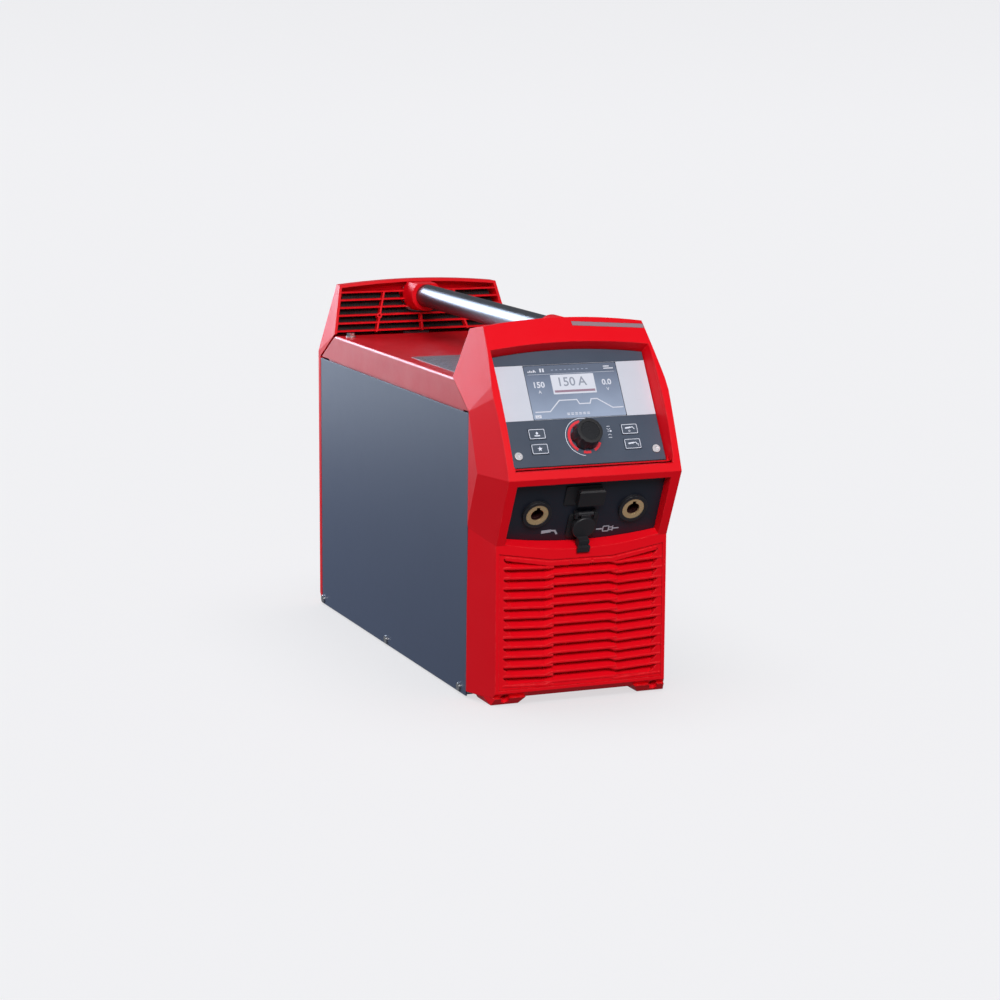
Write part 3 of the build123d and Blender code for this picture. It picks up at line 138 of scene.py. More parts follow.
# ------------------------------------------------------------------ materials
class Tree:
    """Small wrapper that keeps node building short."""

    def __init__(self, name):
        self.mat = bpy.data.materials.new(name)
        self.mat.use_nodes = True
        self.t = self.mat.node_tree
        self.t.nodes.clear()
        self.out = self.t.nodes.new("ShaderNodeOutputMaterial")
        self.bsdf = self.t.nodes.new("ShaderNodeBsdfPrincipled")
        self.t.links.new(self.bsdf.outputs[0], self.out.inputs[0])
        self.coord = self.t.nodes.new("ShaderNodeTexCoord").outputs["Object"]

    def node(self, kind, **inputs):
        n = self.t.nodes.new(kind)
        for key, value in inputs.items():
            self.put(n.inputs[key.replace("_", " ")], value)
        return n

    def put(self, socket, value):
        if isinstance(value, bpy.types.NodeSocket):
            self.t.links.new(value, socket)
        else:
            socket.default_value = value

    def set(self, **inputs):
        for key, value in inputs.items():
            self.put(self.bsdf.inputs[key.replace("_", " ")], value)

    def stretched(self, scale):
        m = self.t.nodes.new("ShaderNodeMapping")
        self.put(m.inputs["Vector"], self.coord)
        m.inputs["Scale"].default_value = scale
        return m.outputs[0]

    def noise(self, scale, detail=4.0, rough=0.55, vector=None):
        n = self.node("ShaderNodeTexNoise", Scale=scale, Detail=detail, Roughness=rough)
        self.put(n.inputs["Vector"], vector or self.coord)
        return n.outputs["Fac"]

    def ramp(self, fac, low, high, a=0.0, b=1.0):
        n = self.t.nodes.new("ShaderNodeMapRange")
        self.put(n.inputs["Value"], fac)
        for key, value in (("From Min", low), ("From Max", high), ("To Min", a), ("To Max", b)):
            self.put(n.inputs[key], value)
        return n.outputs[0]

    def mix(self, fac, a, b):
        n = self.t.nodes.new("ShaderNodeMix")
        n.data_type = "RGBA"
        self.put(n.inputs["Factor"], fac)
        self.put(n.inputs["A"], a)
        self.put(n.inputs["B"], b)
        return n.outputs["Result"]

    def math(self, op, a, b=0.0):
        n = self.t.nodes.new("ShaderNodeMath")
        n.operation = op
        self.put(n.inputs[0], a)
        self.put(n.inputs[1], b)
        return n.outputs[0]

    def bump(self, height, strength, distance, normal=None):
        n = self.node("ShaderNodeBump", Strength=strength, Distance=distance, Height=height)
        if normal is not None:
            self.put(n.inputs["Normal"], normal)
        return n.outputs[0]

    def edges(self, radius):
        """(rounded normal, mask that is 1 along convex and concave edges)."""
        bevel = self.t.nodes.new("ShaderNodeBevel")
        bevel.samples = 4
        bevel.inputs["Radius"].default_value = radius
        geo = self.t.nodes.new("ShaderNodeNewGeometry")
        dot = self.t.nodes.new("ShaderNodeVectorMath")
        dot.operation = "DOT_PRODUCT"
        self.put(dot.inputs[0], bevel.outputs[0])
        self.put(dot.inputs[1], geo.outputs["Normal"])
        return bevel.outputs[0], self.ramp(dot.outputs["Value"], 0.995, 0.86)


def shade(color, factor):
    """The colour times a factor, opaque."""
    return tuple(min(1.0, c * factor) for c in color[:3]) + (1.0,)


def solid(
    name,
    color,
    rough,
    metallic=0.0,
    grain=900.0,
    grain_depth=0.00004,
    grain_strength=0.12,
    mottle=0.06,
    edge=0.0,
    rubbed_and_highlit_tint=None,
    rubbed_and_highlit_amount=0.35,
    specular=0.5,
    coat=0.0,
    coat_rough=0.1,
    brushed=None,
    dust=0.0,
    rough_vary=0.15,
):
    """Moulded, painted, brushed or machined surface with mottling, grain, dust, and edges tinted lighter for rub
    wear and a painted highlight.
    """
    t = Tree(name)
    base = color + (1.0,)
    cloud = t.ramp(t.noise(9.0, 5.0, 0.6), 0.3, 0.7)
    tint = t.mix(cloud, shade(base, 1.0 - mottle), shade(base, 1.0 + mottle))
    fine = t.noise(grain, 3.0, 0.6)
    vector = t.stretched(brushed) if brushed else None
    streak = t.noise(60.0, 6.0, 0.7, vector) if brushed else t.noise(34.0, 6.0, 0.65)
    rough_out = t.ramp(streak, 0.3, 0.7, rough * (1 - rough_vary), rough * (1 + rough_vary))
    normal = None
    if edge:
        normal, mask = t.edges(edge)
        # edges are tinted lighter: partly rub wear, partly a painted highlight along the edges
        patchy = t.ramp(t.noise(150.0, 6.0, 0.7), 0.42, 0.62)
        rubbed_and_highlit_edge = t.math("MULTIPLY", t.math("MULTIPLY", mask, patchy), rubbed_and_highlit_amount)
        tint = t.mix(rubbed_and_highlit_edge, tint, (rubbed_and_highlit_tint or shade(base, 1.5)[:3]) + (1.0,))
        rough_out = t.math("ADD", rough_out, t.math("MULTIPLY", rubbed_and_highlit_edge, 0.15))
    if dust:
        geo = t.t.nodes.new("ShaderNodeNewGeometry")
        split = t.t.nodes.new("ShaderNodeSeparateXYZ")
        t.put(split.inputs[0], geo.outputs["Normal"])
        up = t.ramp(split.outputs["Z"], 0.5, 1.0)
        speck = t.ramp(t.noise(48.0, 8.0, 0.72), 0.42, 0.75)
        layer = t.math("MULTIPLY", t.math("MULTIPLY", up, speck), dust)
        tint = t.mix(layer, tint, (0.42, 0.40, 0.38, 1.0))
        rough_out = t.math("ADD", rough_out, t.math("MULTIPLY", layer, 0.5))
    t.set(
        Base_Color=tint,
        Roughness=rough_out,
        Metallic=metallic,
        Normal=t.bump(fine, grain_strength, grain_depth, normal),
    )
    t.bsdf.inputs["Specular IOR Level"].default_value = specular
    t.bsdf.inputs["Coat Weight"].default_value = coat
    t.bsdf.inputs["Coat Roughness"].default_value = coat_rough
    return t.mat


BRASS = {
    "color": (0.80, 0.56, 0.30), "rough": 0.27, "metallic": 0.66, "grain": 1500.0, "mottle": 0.16,
    "grain_strength": 0.16, "edge": 0.0003, "rubbed_and_highlit_tint": (0.95, 0.80, 0.48), "rubbed_and_highlit_amount": 0.6,
}
# one finish for each material slot of the record, and bright_screws for the panel's screws.
# The slot dark_screws has none here, because FINISH_OF_NODE gives both its nodes their own.
made = {
    "red_plastic": solid(
        "red_plastic", (0.80, 0.002, 0.010), 0.40, grain=1500.0, mottle=0.02, edge=0.0009,
        rubbed_and_highlit_tint=(0.95, 0.10, 0.10), rubbed_and_highlit_amount=0.5, specular=0.18,
    ),
    "cover_red": solid(
        "cover_red", (0.60, 0.003, 0.010), 0.36, grain=1900.0, grain_strength=0.22,
        mottle=0.03, edge=0.0008, rubbed_and_highlit_tint=(0.9, 0.16, 0.16), specular=0.45, dust=0.03,
    ),
    "slate_paint": solid(
        "slate_paint", (0.054, 0.072, 0.120), 0.40, grain=900.0, grain_strength=0.05,
        mottle=0.015, edge=0.0006, rubbed_and_highlit_tint=(0.35, 0.37, 0.40), specular=0.5, rough_vary=0.03,
    ),
    "zinc_steel": solid(
        "zinc_steel", (0.60, 0.62, 0.64), 0.36, metallic=1.0, grain=260.0,
        mottle=0.12, grain_strength=0.15, edge=0.0004, brushed=(3.0, 0.4, 3.0),
    ),
    "steel_screws": solid(
        "steel_screws", (0.66, 0.66, 0.66), 0.26, metallic=1.0, grain=2400.0,
        mottle=0.10, edge=0.0003, rubbed_and_highlit_tint=(0.9, 0.9, 0.9),
    ),
    "bright_screws": solid(
        "bright_screws", (0.74, 0.75, 0.78), 0.26, metallic=0.35, grain=2400.0,
        mottle=0.10, edge=0.0003, rubbed_and_highlit_tint=(0.9, 0.9, 0.9),
    ),
    "handle_metal": solid(
        "handle_metal", (0.13, 0.137, 0.16), 0.30, metallic=0.92, grain=800.0,
        mottle=0.05, grain_strength=0.10, brushed=(40.0, 1.2, 40.0),
    ),
    "feet_rubber": solid("feet_rubber", (0.02, 0.02, 0.022), 0.72, grain=700.0, mottle=0.2),
    "light_plastic": solid(
        "light_plastic", (0.30, 0.21, 0.24), 0.40, grain=1100.0, mottle=0.05, specular=0.4,
    ),
    "slate_overlay": solid(
        "slate_overlay", (0.064, 0.084, 0.122), 0.34, grain=1700.0, mottle=0.10,
        grain_strength=0.10, specular=0.45,
    ),
    "silver_overlay": solid(
        "silver_overlay", (0.68, 0.72, 0.81), 0.32, metallic=0.15, grain=2200.0,
        mottle=0.04, grain_strength=0.10, specular=0.5, brushed=(1.0, 9.0, 9.0),
    ),
    "carrier_plastic": solid("carrier_plastic", (0.03, 0.033, 0.038), 0.5, mottle=0.2),
    "key_rubber": solid(
        "key_rubber", (0.064, 0.084, 0.122), 0.42, grain=1300.0, mottle=0.10, edge=0.0003,
        rubbed_and_highlit_tint=(0.20, 0.23, 0.27),
    ),
    "knob_black": solid(
        "knob_black", (0.010, 0.010, 0.012), 0.42, grain=1400.0, grain_strength=0.25,
        mottle=0.25, edge=0.0007, rubbed_and_highlit_tint=(0.06, 0.06, 0.065), specular=0.55,
    ),
    "knob_cap": solid(
        "knob_cap", (0.016, 0.017, 0.020), 0.28, grain=1900.0, mottle=0.2, edge=0.0003,
        rubbed_and_highlit_tint=(0.07, 0.07, 0.075),
    ),
    "encoder_metal": solid(
        "encoder_metal", (0.58, 0.58, 0.60), 0.28, metallic=1.0, grain=500.0,
        mottle=0.08, brushed=(30.0, 30.0, 1.0),
    ),
    "board_green": solid("board_green", (0.015, 0.12, 0.045), 0.35, grain=420.0, mottle=0.2),
    "socket_blue_black": solid(
        "socket_blue_black", (0.009, 0.012, 0.021), 0.40, grain=1300.0, mottle=0.2,
        specular=0.5,
    ),
    "insulator_black": solid(
        "insulator_black", (0.014, 0.014, 0.017), 0.38, grain=1200.0, mottle=0.2,
        edge=0.0005, rubbed_and_highlit_tint=(0.16, 0.16, 0.19), rubbed_and_highlit_amount=0.7,
    ),
    "brass": solid("brass", **BRASS),
    "copper": solid("copper", (0.80, 0.40, 0.24), 0.28, metallic=1.0, grain=900.0, mottle=0.2),
    "connector_black": solid(
        "connector_black", (0.012, 0.012, 0.014), 0.40, grain=1100.0, mottle=0.2,
        edge=0.0005, rubbed_and_highlit_tint=(0.07, 0.07, 0.078),
    ),
    "cap_black": solid(
        "cap_black", (0.014, 0.014, 0.017), 0.46, grain=900.0, grain_strength=0.2,
        mottle=0.2, edge=0.0007, rubbed_and_highlit_tint=(0.06, 0.06, 0.065),
    ),
    "gland_black": solid(
        "gland_black", (0.016, 0.016, 0.018), 0.48, grain=700.0, mottle=0.2, edge=0.0006,
        rubbed_and_highlit_tint=(0.07, 0.07, 0.075),
    ),
    "switch_black": solid(
        "switch_black", (0.016, 0.016, 0.018), 0.42, grain=900.0, mottle=0.2, edge=0.0006,
        rubbed_and_highlit_tint=(0.07, 0.07, 0.075),
    ),
    "valve_metal": solid("valve_metal", (0.62, 0.48, 0.24), 0.3, metallic=1.0, mottle=0.2),
    "fan_black": solid("fan_black", (0.014, 0.014, 0.016), 0.45, mottle=0.2, dust=0.15),
    "heatsink_metal": solid(
        "heatsink_metal", (0.66, 0.67, 0.69), 0.34, metallic=1.0, brushed=(40.0, 1.0, 40.0),
    ),
    "module_black": solid("module_black", (0.02, 0.02, 0.022), 0.5, mottle=0.2),
    "can_metal": solid("can_metal", (0.03, 0.04, 0.09), 0.3, mottle=0.15),
    "core_ferrite": solid("core_ferrite", (0.05, 0.05, 0.055), 0.6, mottle=0.25),
}


def glowing(name, low, high, strength):
    """Glowing display, or a print or ring given a painted glow: a soft gradient up the display face with a faint
    pixel grain.
    """
    t = Tree(name)
    split = t.t.nodes.new("ShaderNodeSeparateXYZ")
    t.put(split.inputs[0], t.coord)
    bottom, top = (FACE.at(0, s, DISPLAY_DEPTH).z for s in DISPLAY_S)
    up = t.ramp(split.outputs["Z"], bottom, top)
    cloud = t.ramp(t.noise(14.0, 4.0, 0.6), 0.35, 0.65, -0.10, 0.10)
    tint = t.mix(t.math("ADD", up, cloud), low + (1.0,), high + (1.0,))
    pixel = t.noise(2600.0, 2.0, 0.5)
    t.set(Base_Color=tint, Roughness=t.ramp(t.noise(40.0), 0.3, 0.7, 0.10, 0.18))
    t.set(Normal=t.bump(pixel, 0.05, 0.00002))
    t.put(t.bsdf.inputs["Emission Color"], tint)
    t.bsdf.inputs["Emission Strength"].default_value = strength
    return t.mat


made["lcd_face"] = glowing("lcd_face", (0.32, 0.39, 0.52), (0.12, 0.15, 0.215), 0.05)
# the red ring glows faintly though it is no lamp: a painted glow
made["ring_red"] = glowing("ring_red", (0.70, 0.045, 0.06), (0.76, 0.055, 0.075), 0.08)
# glowing inks: colour at the foot and at the head of the display, glow. On the display the glow is its backlight;
# on the keys, dial film, socket panel and rating plate it is a painted glow
GLOWING_INKS = {
    "white": ((0.63, 0.66, 0.74), (0.66, 0.69, 0.77), 0.06),
    "light": ((0.70, 0.74, 0.84), (0.76, 0.80, 0.90), 0.10),
    "grey": ((0.27, 0.30, 0.36), (0.29, 0.32, 0.39), 0.05),
    "dim": ((0.34, 0.40, 0.52), (0.30, 0.35, 0.46), 0.05),
    "bar": ((0.30, 0.20, 0.26), (0.33, 0.22, 0.29), 0.05),
    "dark": ((0.13, 0.16, 0.22), (0.13, 0.16, 0.22), 0.03),
    "mark": ((0.42, 0.44, 0.50), (0.42, 0.44, 0.50), 0.02),
}
glowing_inks = {name: glowing("glowing_ink_" + name, *look) for name, look in GLOWING_INKS.items()}


def winding():
    """Enamelled wire laid in turns."""
    t = Tree("winding_copper")
    wave = t.node("ShaderNodeTexWave", Scale=160.0, Distortion=0.6, Detail=1.0)
    t.put(wave.inputs["Vector"], t.coord)
    wave.bands_direction = "Z"
    tint = t.mix(wave.outputs["Fac"], (0.22, 0.07, 0.02, 1), (0.62, 0.26, 0.10, 1))
    t.set(Base_Color=tint, Roughness=0.3, Metallic=0.8)
    t.set(Normal=t.bump(wave.outputs["Fac"], 0.6, 0.0006))
    return t.mat


made["winding_copper"] = winding()


def socket_brass():
    """Machined brass whose bore is painted dark behind the front face: painted shade in the deep bore."""
    mat = solid("socket_brass", **BRASS)
    nt = mat.node_tree
    bsdf = next(n for n in nt.nodes if n.type == "BSDF_PRINCIPLED")
    coord = nt.nodes.new("ShaderNodeTexCoord")
    away = nt.nodes.new("ShaderNodeVectorMath")
    away.operation = "SUBTRACT"
    nt.links.new(coord.outputs["Object"], away.inputs[0])
    away.inputs[1].default_value = UNDER.at(0, 0, BORE_SHADE_FROM)
    into = nt.nodes.new("ShaderNodeVectorMath")
    into.operation = "DOT_PRODUCT"
    nt.links.new(away.outputs[0], into.inputs[0])
    into.inputs[1].default_value = -UNDER.n
    deep = nt.nodes.new("ShaderNodeMapRange")
    nt.links.new(into.outputs["Value"], deep.inputs["Value"])
    deep.inputs["From Max"].default_value = BORE_SHADE_FADE * MM
    # dark colour deep in the bore: painted shade
    bore_shade = {"Base Color": (0.030, 0.006, 0.007, 1.0), "Roughness": 0.55, "Metallic": 0.2}
    for socket, dark in bore_shade.items():
        old = bsdf.inputs[socket]
        mix = nt.nodes.new("ShaderNodeMix")
        nt.links.new(deep.outputs[0], mix.inputs["Factor"])
        if socket == "Base Color":
            mix.data_type = "RGBA"
        if old.is_linked:
            nt.links.new(old.links[0].from_socket, mix.inputs["A"])
        else:
            mix.inputs["A"].default_value = old.default_value
        mix.inputs["B"].default_value = dark
        nt.links.new(mix.outputs["Result"], old)
    return mat


# nodes that look different from the rest of their slot
FINISH_OF_NODE = {
    "panel_screws": made["bright_screws"],
    "housing_screws": made["steel_screws"],
    "socket_inserts": socket_brass(),
}

slots = {s["node"]: s["material_slot"] for s in record["subparts"]}
for name, obj in nodes.items():
    obj.data.materials.clear()
    obj.data.materials.append(FINISH_OF_NODE.get(name) or made[slots[name]])


# ------------------------------------------------------------------ small raised prints
def mesh_piece(name, verts, faces, material, body):
    """A closed mesh as a new piece that rides on a body."""
    data = bpy.data.meshes.new(name)
    data.from_pydata([tuple(v) for v in verts], [], faces)
    bm = bmesh.new()
    bm.from_mesh(data)
    bmesh.ops.recalc_face_normals(bm, faces=bm.faces)
    bm.to_mesh(data)
    bm.free()
    obj = bpy.data.objects.new(name, data)
    bpy.context.scene.collection.objects.link(obj)
    data.materials.append(material)
    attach(obj, body)
    return obj


def prism(loops, plane, depth, thick):
    """Verts and faces of closed outlines raised from a plane."""
    verts, faces = [], []
    for loop in loops:
        start, n = len(verts), len(loop)
        for level in (depth, depth - thick):
            verts.extend(plane.at(x, s, level) for x, s in loop)
        faces.append(tuple(range(start, start + n)))
        faces.append(tuple(range(start + n, start + 2 * n))[::-1])
        for i in range(n):
            j = (i + 1) % n
            faces.append((start + i, start + j, start + n + j, start + n + i))
    return verts, faces


def ribbon(points, width, closed=False):
    """Pairs of left and right points along a line, with mitred corners."""
    n = len(points)
    rails = []
    for i, (x, y) in enumerate(points):
        before = points[i - 1] if closed or i > 0 else None
        after = points[(i + 1) % n] if closed or i < n - 1 else None
        dirs = []
        for a, b in ((before, (x, y)), ((x, y), after)):
            if a is not None and b is not None:
                length = math.hypot(b[0] - a[0], b[1] - a[1])
                dirs.append(((b[0] - a[0]) / length, (b[1] - a[1]) / length))
        dx = sum(d[0] for d in dirs) / len(dirs)
        dy = sum(d[1] for d in dirs) / len(dirs)
        size = dx * dx + dy * dy
        nx, ny = -dy / size * width / 2, dx / size * width / 2
        rails.append(((x + nx, y + ny), (x - nx, y - ny)))
    return rails


def strip(rails, closed, plane, depth, thick):
    """Verts and faces of a ribbon raised from a plane."""
    verts, faces = [], []
    for left, right in rails:
        for x, s in (left, right):
            verts.append(plane.at(x, s, depth))
            verts.append(plane.at(x, s, depth - thick))
    n = len(rails)
    for i in range(n if closed else n - 1):
        a, b = 4 * i, 4 * ((i + 1) % n)
        faces += [
            (a + 1, a + 3, b + 3, b + 1),
            (a, b, b + 2, a + 2),
            (a, a + 1, b + 1, b),
            (a + 2, b + 2, b + 3, a + 3),
        ]
    if not closed:
        last = 4 * (n - 1)
        faces += [(0, 2, 3, 1), (last, last + 1, last + 3, last + 2)]
    return verts, faces


class Print:
    """Collects strokes and filled shapes of one ink on one plane into one piece."""

    def __init__(self, name, plane, depth, material, body="housing", slot_name=None,
                 thick=INK_THICK):
        self.args = (name, material, body, slot_name)
        self.plane, self.depth, self.thick = plane, depth, thick
        self.verts, self.faces = [], []

    def _add(self, made_now):
        verts, faces = made_now
        start = len(self.verts)
        self.verts += verts
        self.faces += [tuple(i + start for i in f) for f in faces]

    def fill(self, *loops):
        self._add(prism(loops, self.plane, self.depth, self.thick))

    def box(self, x0, x1, s0, s1, corner=0.0):
        self.fill(rounded(x0, x1, s0, s1, corner))

    def line(self, points, width, closed=False):
        self._add(strip(ribbon(points, width, closed), closed, self.plane, self.depth, self.thick))

    def text(self, words, x, s, height, bold=0.0):
        """Digits or a unit letter centred on x, s."""
        font = bpy.data.curves.new("text", "FONT")
        font.body = words
        font.size = height * FONT_SIZE_PER_HEIGHT
        font.align_x = "CENTER"
        font.align_y = "CENTER"
        font.resolution_u = 3
        font.offset = bold
        font.extrude = self.thick / 2
        holder = bpy.data.objects.new("text", font)
        bpy.context.scene.collection.objects.link(holder)
        dg = bpy.context.evaluated_depsgraph_get()
        data = bpy.data.meshes.new_from_object(holder.evaluated_get(dg))
        verts = [
            self.plane.at(x + v.co.x, s + v.co.y, self.depth - self.thick / 2 - v.co.z)
            for v in data.vertices
        ]
        self._add((verts, [tuple(p.vertices) for p in data.polygons]))
        bpy.data.objects.remove(holder)
        bpy.data.meshes.remove(data)
        bpy.data.curves.remove(font)

    def done(self):
        name, material, body, slot_name = self.args
        return mesh_piece(name, self.verts, self.faces, material, body)


def rounded(x0, x1, s0, s1, r, steps=4):
    """Rectangle outline with rounded corners."""
    if not r:
        return [(x0, s0), (x1, s0), (x1, s1), (x0, s1)]
    points = []
    corners = ((x1 - r, s0 + r, -90), (x1 - r, s1 - r, 0), (x0 + r, s1 - r, 90), (x0 + r, s0 + r, 180))
    for cx, cy, begin in corners:
        for i in range(steps + 1):
            a = math.radians(begin + 90 * i / steps)
            points.append((cx + r * math.cos(a), cy + r * math.sin(a)))
    return points


def arc(cx, cy, r, begin, end, steps=40):
    """Points of an arc between two angles in degrees."""
    points = []
    for i in range(steps + 1):
        a = math.radians(begin + (end - begin) * i / steps)
        points.append((cx + r * math.cos(a), cy + r * math.sin(a)))
    return points


def depth_on(plane, node):
    """Least depth of a node behind a plane, in millimetres."""
    return min(-(v.co - plane.origin).dot(plane.n) / MM for v in nodes[node].data.vertices)


def span_on(plane, node):
    """Least and greatest local x and s of a node on a plane, in millimetres."""
    xs = [v.co.x / MM for v in nodes[node].data.vertices]
    ss = [(v.co - plane.origin).dot(plane.up) / MM for v in nodes[node].data.vertices]
    return min(xs), max(xs), min(ss), max(ss)


# ------------------------------------------------------------------ display picture
screen = depth_on(FACE, "lcd_module")
lcd_left, lcd_right, lcd_low, lcd_high = span_on(FACE, "lcd_module")


def on_screen(u, v):
    """Point of the display at shares u across and v up."""
    return lcd_left + u * (lcd_right - lcd_left), lcd_low + v * (lcd_high - lcd_low)


def screen_line(ink, shares, width):
    """Stroke through points given as shares of the display."""
    ink.line([on_screen(u, v) for u, v in shares], width)


def screen_box(ink, u0, u1, v0, v1, corner=0.0):
    """Filled box between shares of the display."""
    (a, b), (c, d) = on_screen(u0, v0), on_screen(u1, v1)
    ink.box(a, c, b, d, corner)


band = Print("display_status_band", FACE, screen, glowing_inks["dark"], slot_name="lcd_face",
             thick=SCREEN_INK_THICK)
screen_box(band, 0.012, 0.988, 0.845, 0.985)
band.done()

white = Print("display_picture", FACE, screen - PICTURE_PROUD, glowing_inks["white"], slot_name="lcd_face")
screen_line(white, [(0.03, 0.835), (0.97, 0.835)], 0.25)
# weld cycle: low start, rise, plateau with a notch, fall, low end
cycle = [
    (0.03, 0.135), (0.19, 0.135), (0.31, 0.335), (0.50, 0.335), (0.52, 0.255),
    (0.635, 0.255), (0.655, 0.335), (0.72, 0.335), (0.87, 0.155), (0.985, 0.155),
]
screen_line(white, cycle, 1.1)
screen_box(white, 0.268, 0.735, 0.450, 0.815, 0.6)
# status band: a row of stumps and a slash, two bars, and two short rules at the right
for u, v in ((0.035, 0.90), (0.055, 0.915), (0.075, 0.90), (0.095, 0.915)):
    screen_box(white, u, u + 0.013, 0.875, v)
screen_line(white, [(0.10, 0.925), (0.125, 0.875)], 0.7)
for u in (0.165, 0.195):
    screen_box(white, u, u + 0.018, 0.875, 0.945)
for u, v in ((0.965, 0.895), (0.925, 0.935)):
    screen_box(white, 0.86, u, v - 0.008, v + 0.012)
# rows of blocks in place of words, and a small box at the left
for row in range(2):
    for col in range(6):
        u, v = 0.365 + col * 0.043, 0.055 + row * 0.026
        screen_box(white, u, u + 0.028, v, v + 0.015)
screen_box(white, 0.02, 0.085, 0.02, 0.08, 0.4)
READINGS = (
    ("150", 0.125, 0.635, 6.2, 0.22),
    ("A", 0.125, 0.505, 3.4, 0.06),
    ("0.0", 0.862, 0.635, 6.0, 0.22),
    ("V", 0.862, 0.505, 3.4, 0.06),
)
for words, u, v, height, bold in READINGS:
    white.text(words, *on_screen(u, v), height, bold)
white.done()

value = Print("display_value", FACE, screen - VALUE_PROUD, glowing_inks["grey"], slot_name="lcd_face",
              thick=SCREEN_INK_THICK)
for words, u in (("150", 0.425), ("A", 0.600)):
    value.text(words, *on_screen(u, 0.670), 9.6, 0.14)
value.line([on_screen(0.036, 0.05), on_screen(0.055, 0.035), on_screen(0.072, 0.065)], 0.4)
value.done()

bar = Print("display_value_bar", FACE, screen - VALUE_PROUD, glowing_inks["bar"], slot_name="lcd_face",
            thick=SCREEN_INK_THICK)
screen_box(bar, 0.284, 0.722, 0.482, 0.524)
bar.done()

dim = Print("display_marks", FACE, screen - MARKS_PROUD, glowing_inks["dim"], slot_name="lcd_face",
            thick=SCREEN_INK_THICK)
for i in range(9):
    u = 0.29 + i * 0.047
    screen_box(dim, u, u + 0.022, 0.90, 0.915)
dim.done()

# ------------------------------------------------------------------ keys, dial scale and icons
film = depth_on(FACE, "overlay_slate")
KEY_BODIES = {
    "key_home": "home_key",
    "key_store": "store_key",
    "key_trigger": "trigger_key",
    "key_function": "function_key",
}
for node, body in KEY_BODIES.items():
    top = depth_on(FACE, node)
    kx0, kx1, ks0, ks1 = span_on(FACE, node)
    cx, cy = (kx0 + kx1) / 2, (ks0 + ks1) / 2
    hw, hh = (kx1 - kx0) / 2 - KEY_LIP - KEY_OUTLINE_IN, (ks1 - ks0) / 2 - KEY_LIP - KEY_OUTLINE_IN
    # the key's print glows faintly: a painted glow
    ink = Print(node + "_print", FACE, top, glowing_inks["light"], body, "key_rubber")
    ink.line(rounded(cx - hw, cx + hw, cy - hh, cy + hh, 0.9), 0.55, True)
    if node == "key_home":
        # house over a bar
        ink.fill([(cx - 1.7, cy + 0.6), (cx + 1.7, cy + 0.6), (cx, cy + 2.4)])
        ink.box(cx - 1.0, cx + 1.0, cy - 0.5, cy + 0.62)
        ink.box(cx - 2.9, cx + 2.9, cy - 2.4, cy - 1.3, 0.3)
    elif node == "key_store":
        star = []
        for i in range(10):
            r = 2.7 if i % 2 == 0 else 1.1
            a = math.radians(90 + 36 * i)
            star.append((cx + r * math.cos(a), cy + r * math.sin(a)))
        ink.fill(star)
    else:
        # torch handle with a bent neck
        up = 0.9 if node == "key_trigger" else 0.3
        ink.line([(cx - 4.6, cy + up), (cx + 1.4, cy + up + 0.7)], 1.5)
        neck = ((1.4, 0.7), (3.4, 1.0), (4.9, -1.4))
        ink.line([(cx + x, cy + up + y) for x, y in neck], 0.8)
        if node == "key_trigger":
            ink.line(arc(cx - 0.6, cy - 2.2, 0.8, 0, 360, 12)[:-1], 0.4, True)
        else:
            for k in range(3):
                ink.box(cx + 5.4, cx + 6.1, cy - 2.9 + k * 1.1, cy - 2.3 + k * 1.1)
    ink.done()

# the dial scale's print glows faintly: a painted glow
scale = Print("dial_scale", FACE, film, glowing_inks["light"], slot_name="slate_overlay")
scale.line(arc(*DIAL_AT[:2], DIAL_SCALE_R, *DIAL_SCALE_TURN, 64), 0.55)
# a column of small signs right of the dial: a dish, an arrow and a dome
scale.line([(25.0, 53.6), (28.4, 53.6)], 0.5)
scale.line(arc(26.7, 52.2, 1.8, 200, 340, 10), 0.4)
scale.line([(25.2, 48.6), (28.6, 48.6)], 0.5)
scale.fill([(28.0, 47.4), (28.0, 49.8), (30.0, 48.6)])
scale.line(arc(26.9, 43.6, 1.7, 20, 160, 10), 0.4)
scale.line([(25.0, 42.0), (28.8, 42.0)], 0.5)
scale.done()

# the socket marks glow faintly: a painted glow
marks = Print("socket_marks", UNDER, SOCKET_FACE, glowing_inks["mark"], slot_name="socket_blue_black",
              thick=SOCKET_INK_THICK)
# torch by the left socket: handle and neck
marks.line([(-41.0, 6.4), (-31.0, 7.2)], 3.4)
marks.line([(-31.6, 7.6), (-27.0, 7.2), (-24.2, 2.8)], 1.8)
# plug and lead by the right socket: lead, body, two pins, collar, lead
marks.line([(17.0, 5.4), (23.6, 5.4)], 1.5)
marks.line(rounded(24.2, 30.2, 2.4, 8.4, 0.9), 1.1, True)
for s in (6.9, 3.9):
    marks.line([(30.8, s), (34.0, s)], 1.1)
marks.line([(34.4, 2.4), (34.4, 8.4)], 1.2)
marks.line([(35.0, 5.4), (41.0, 5.4)], 1.3)
marks.done()

# ------------------------------------------------------------------ rating plate on the cover
plate_mat = solid(
    "plate_film", (0.30, 0.30, 0.33), 0.30, metallic=0.5, grain=1500.0, mottle=0.08,
    brushed=(1.0, 12.0, 12.0),
)
plate = Print("rating_plate", COVER, 0.0, plate_mat, slot_name="silver_overlay", thick=PLATE_THICK)
plate.box(*PLATE, PLATE_CORNER)
plate.done()
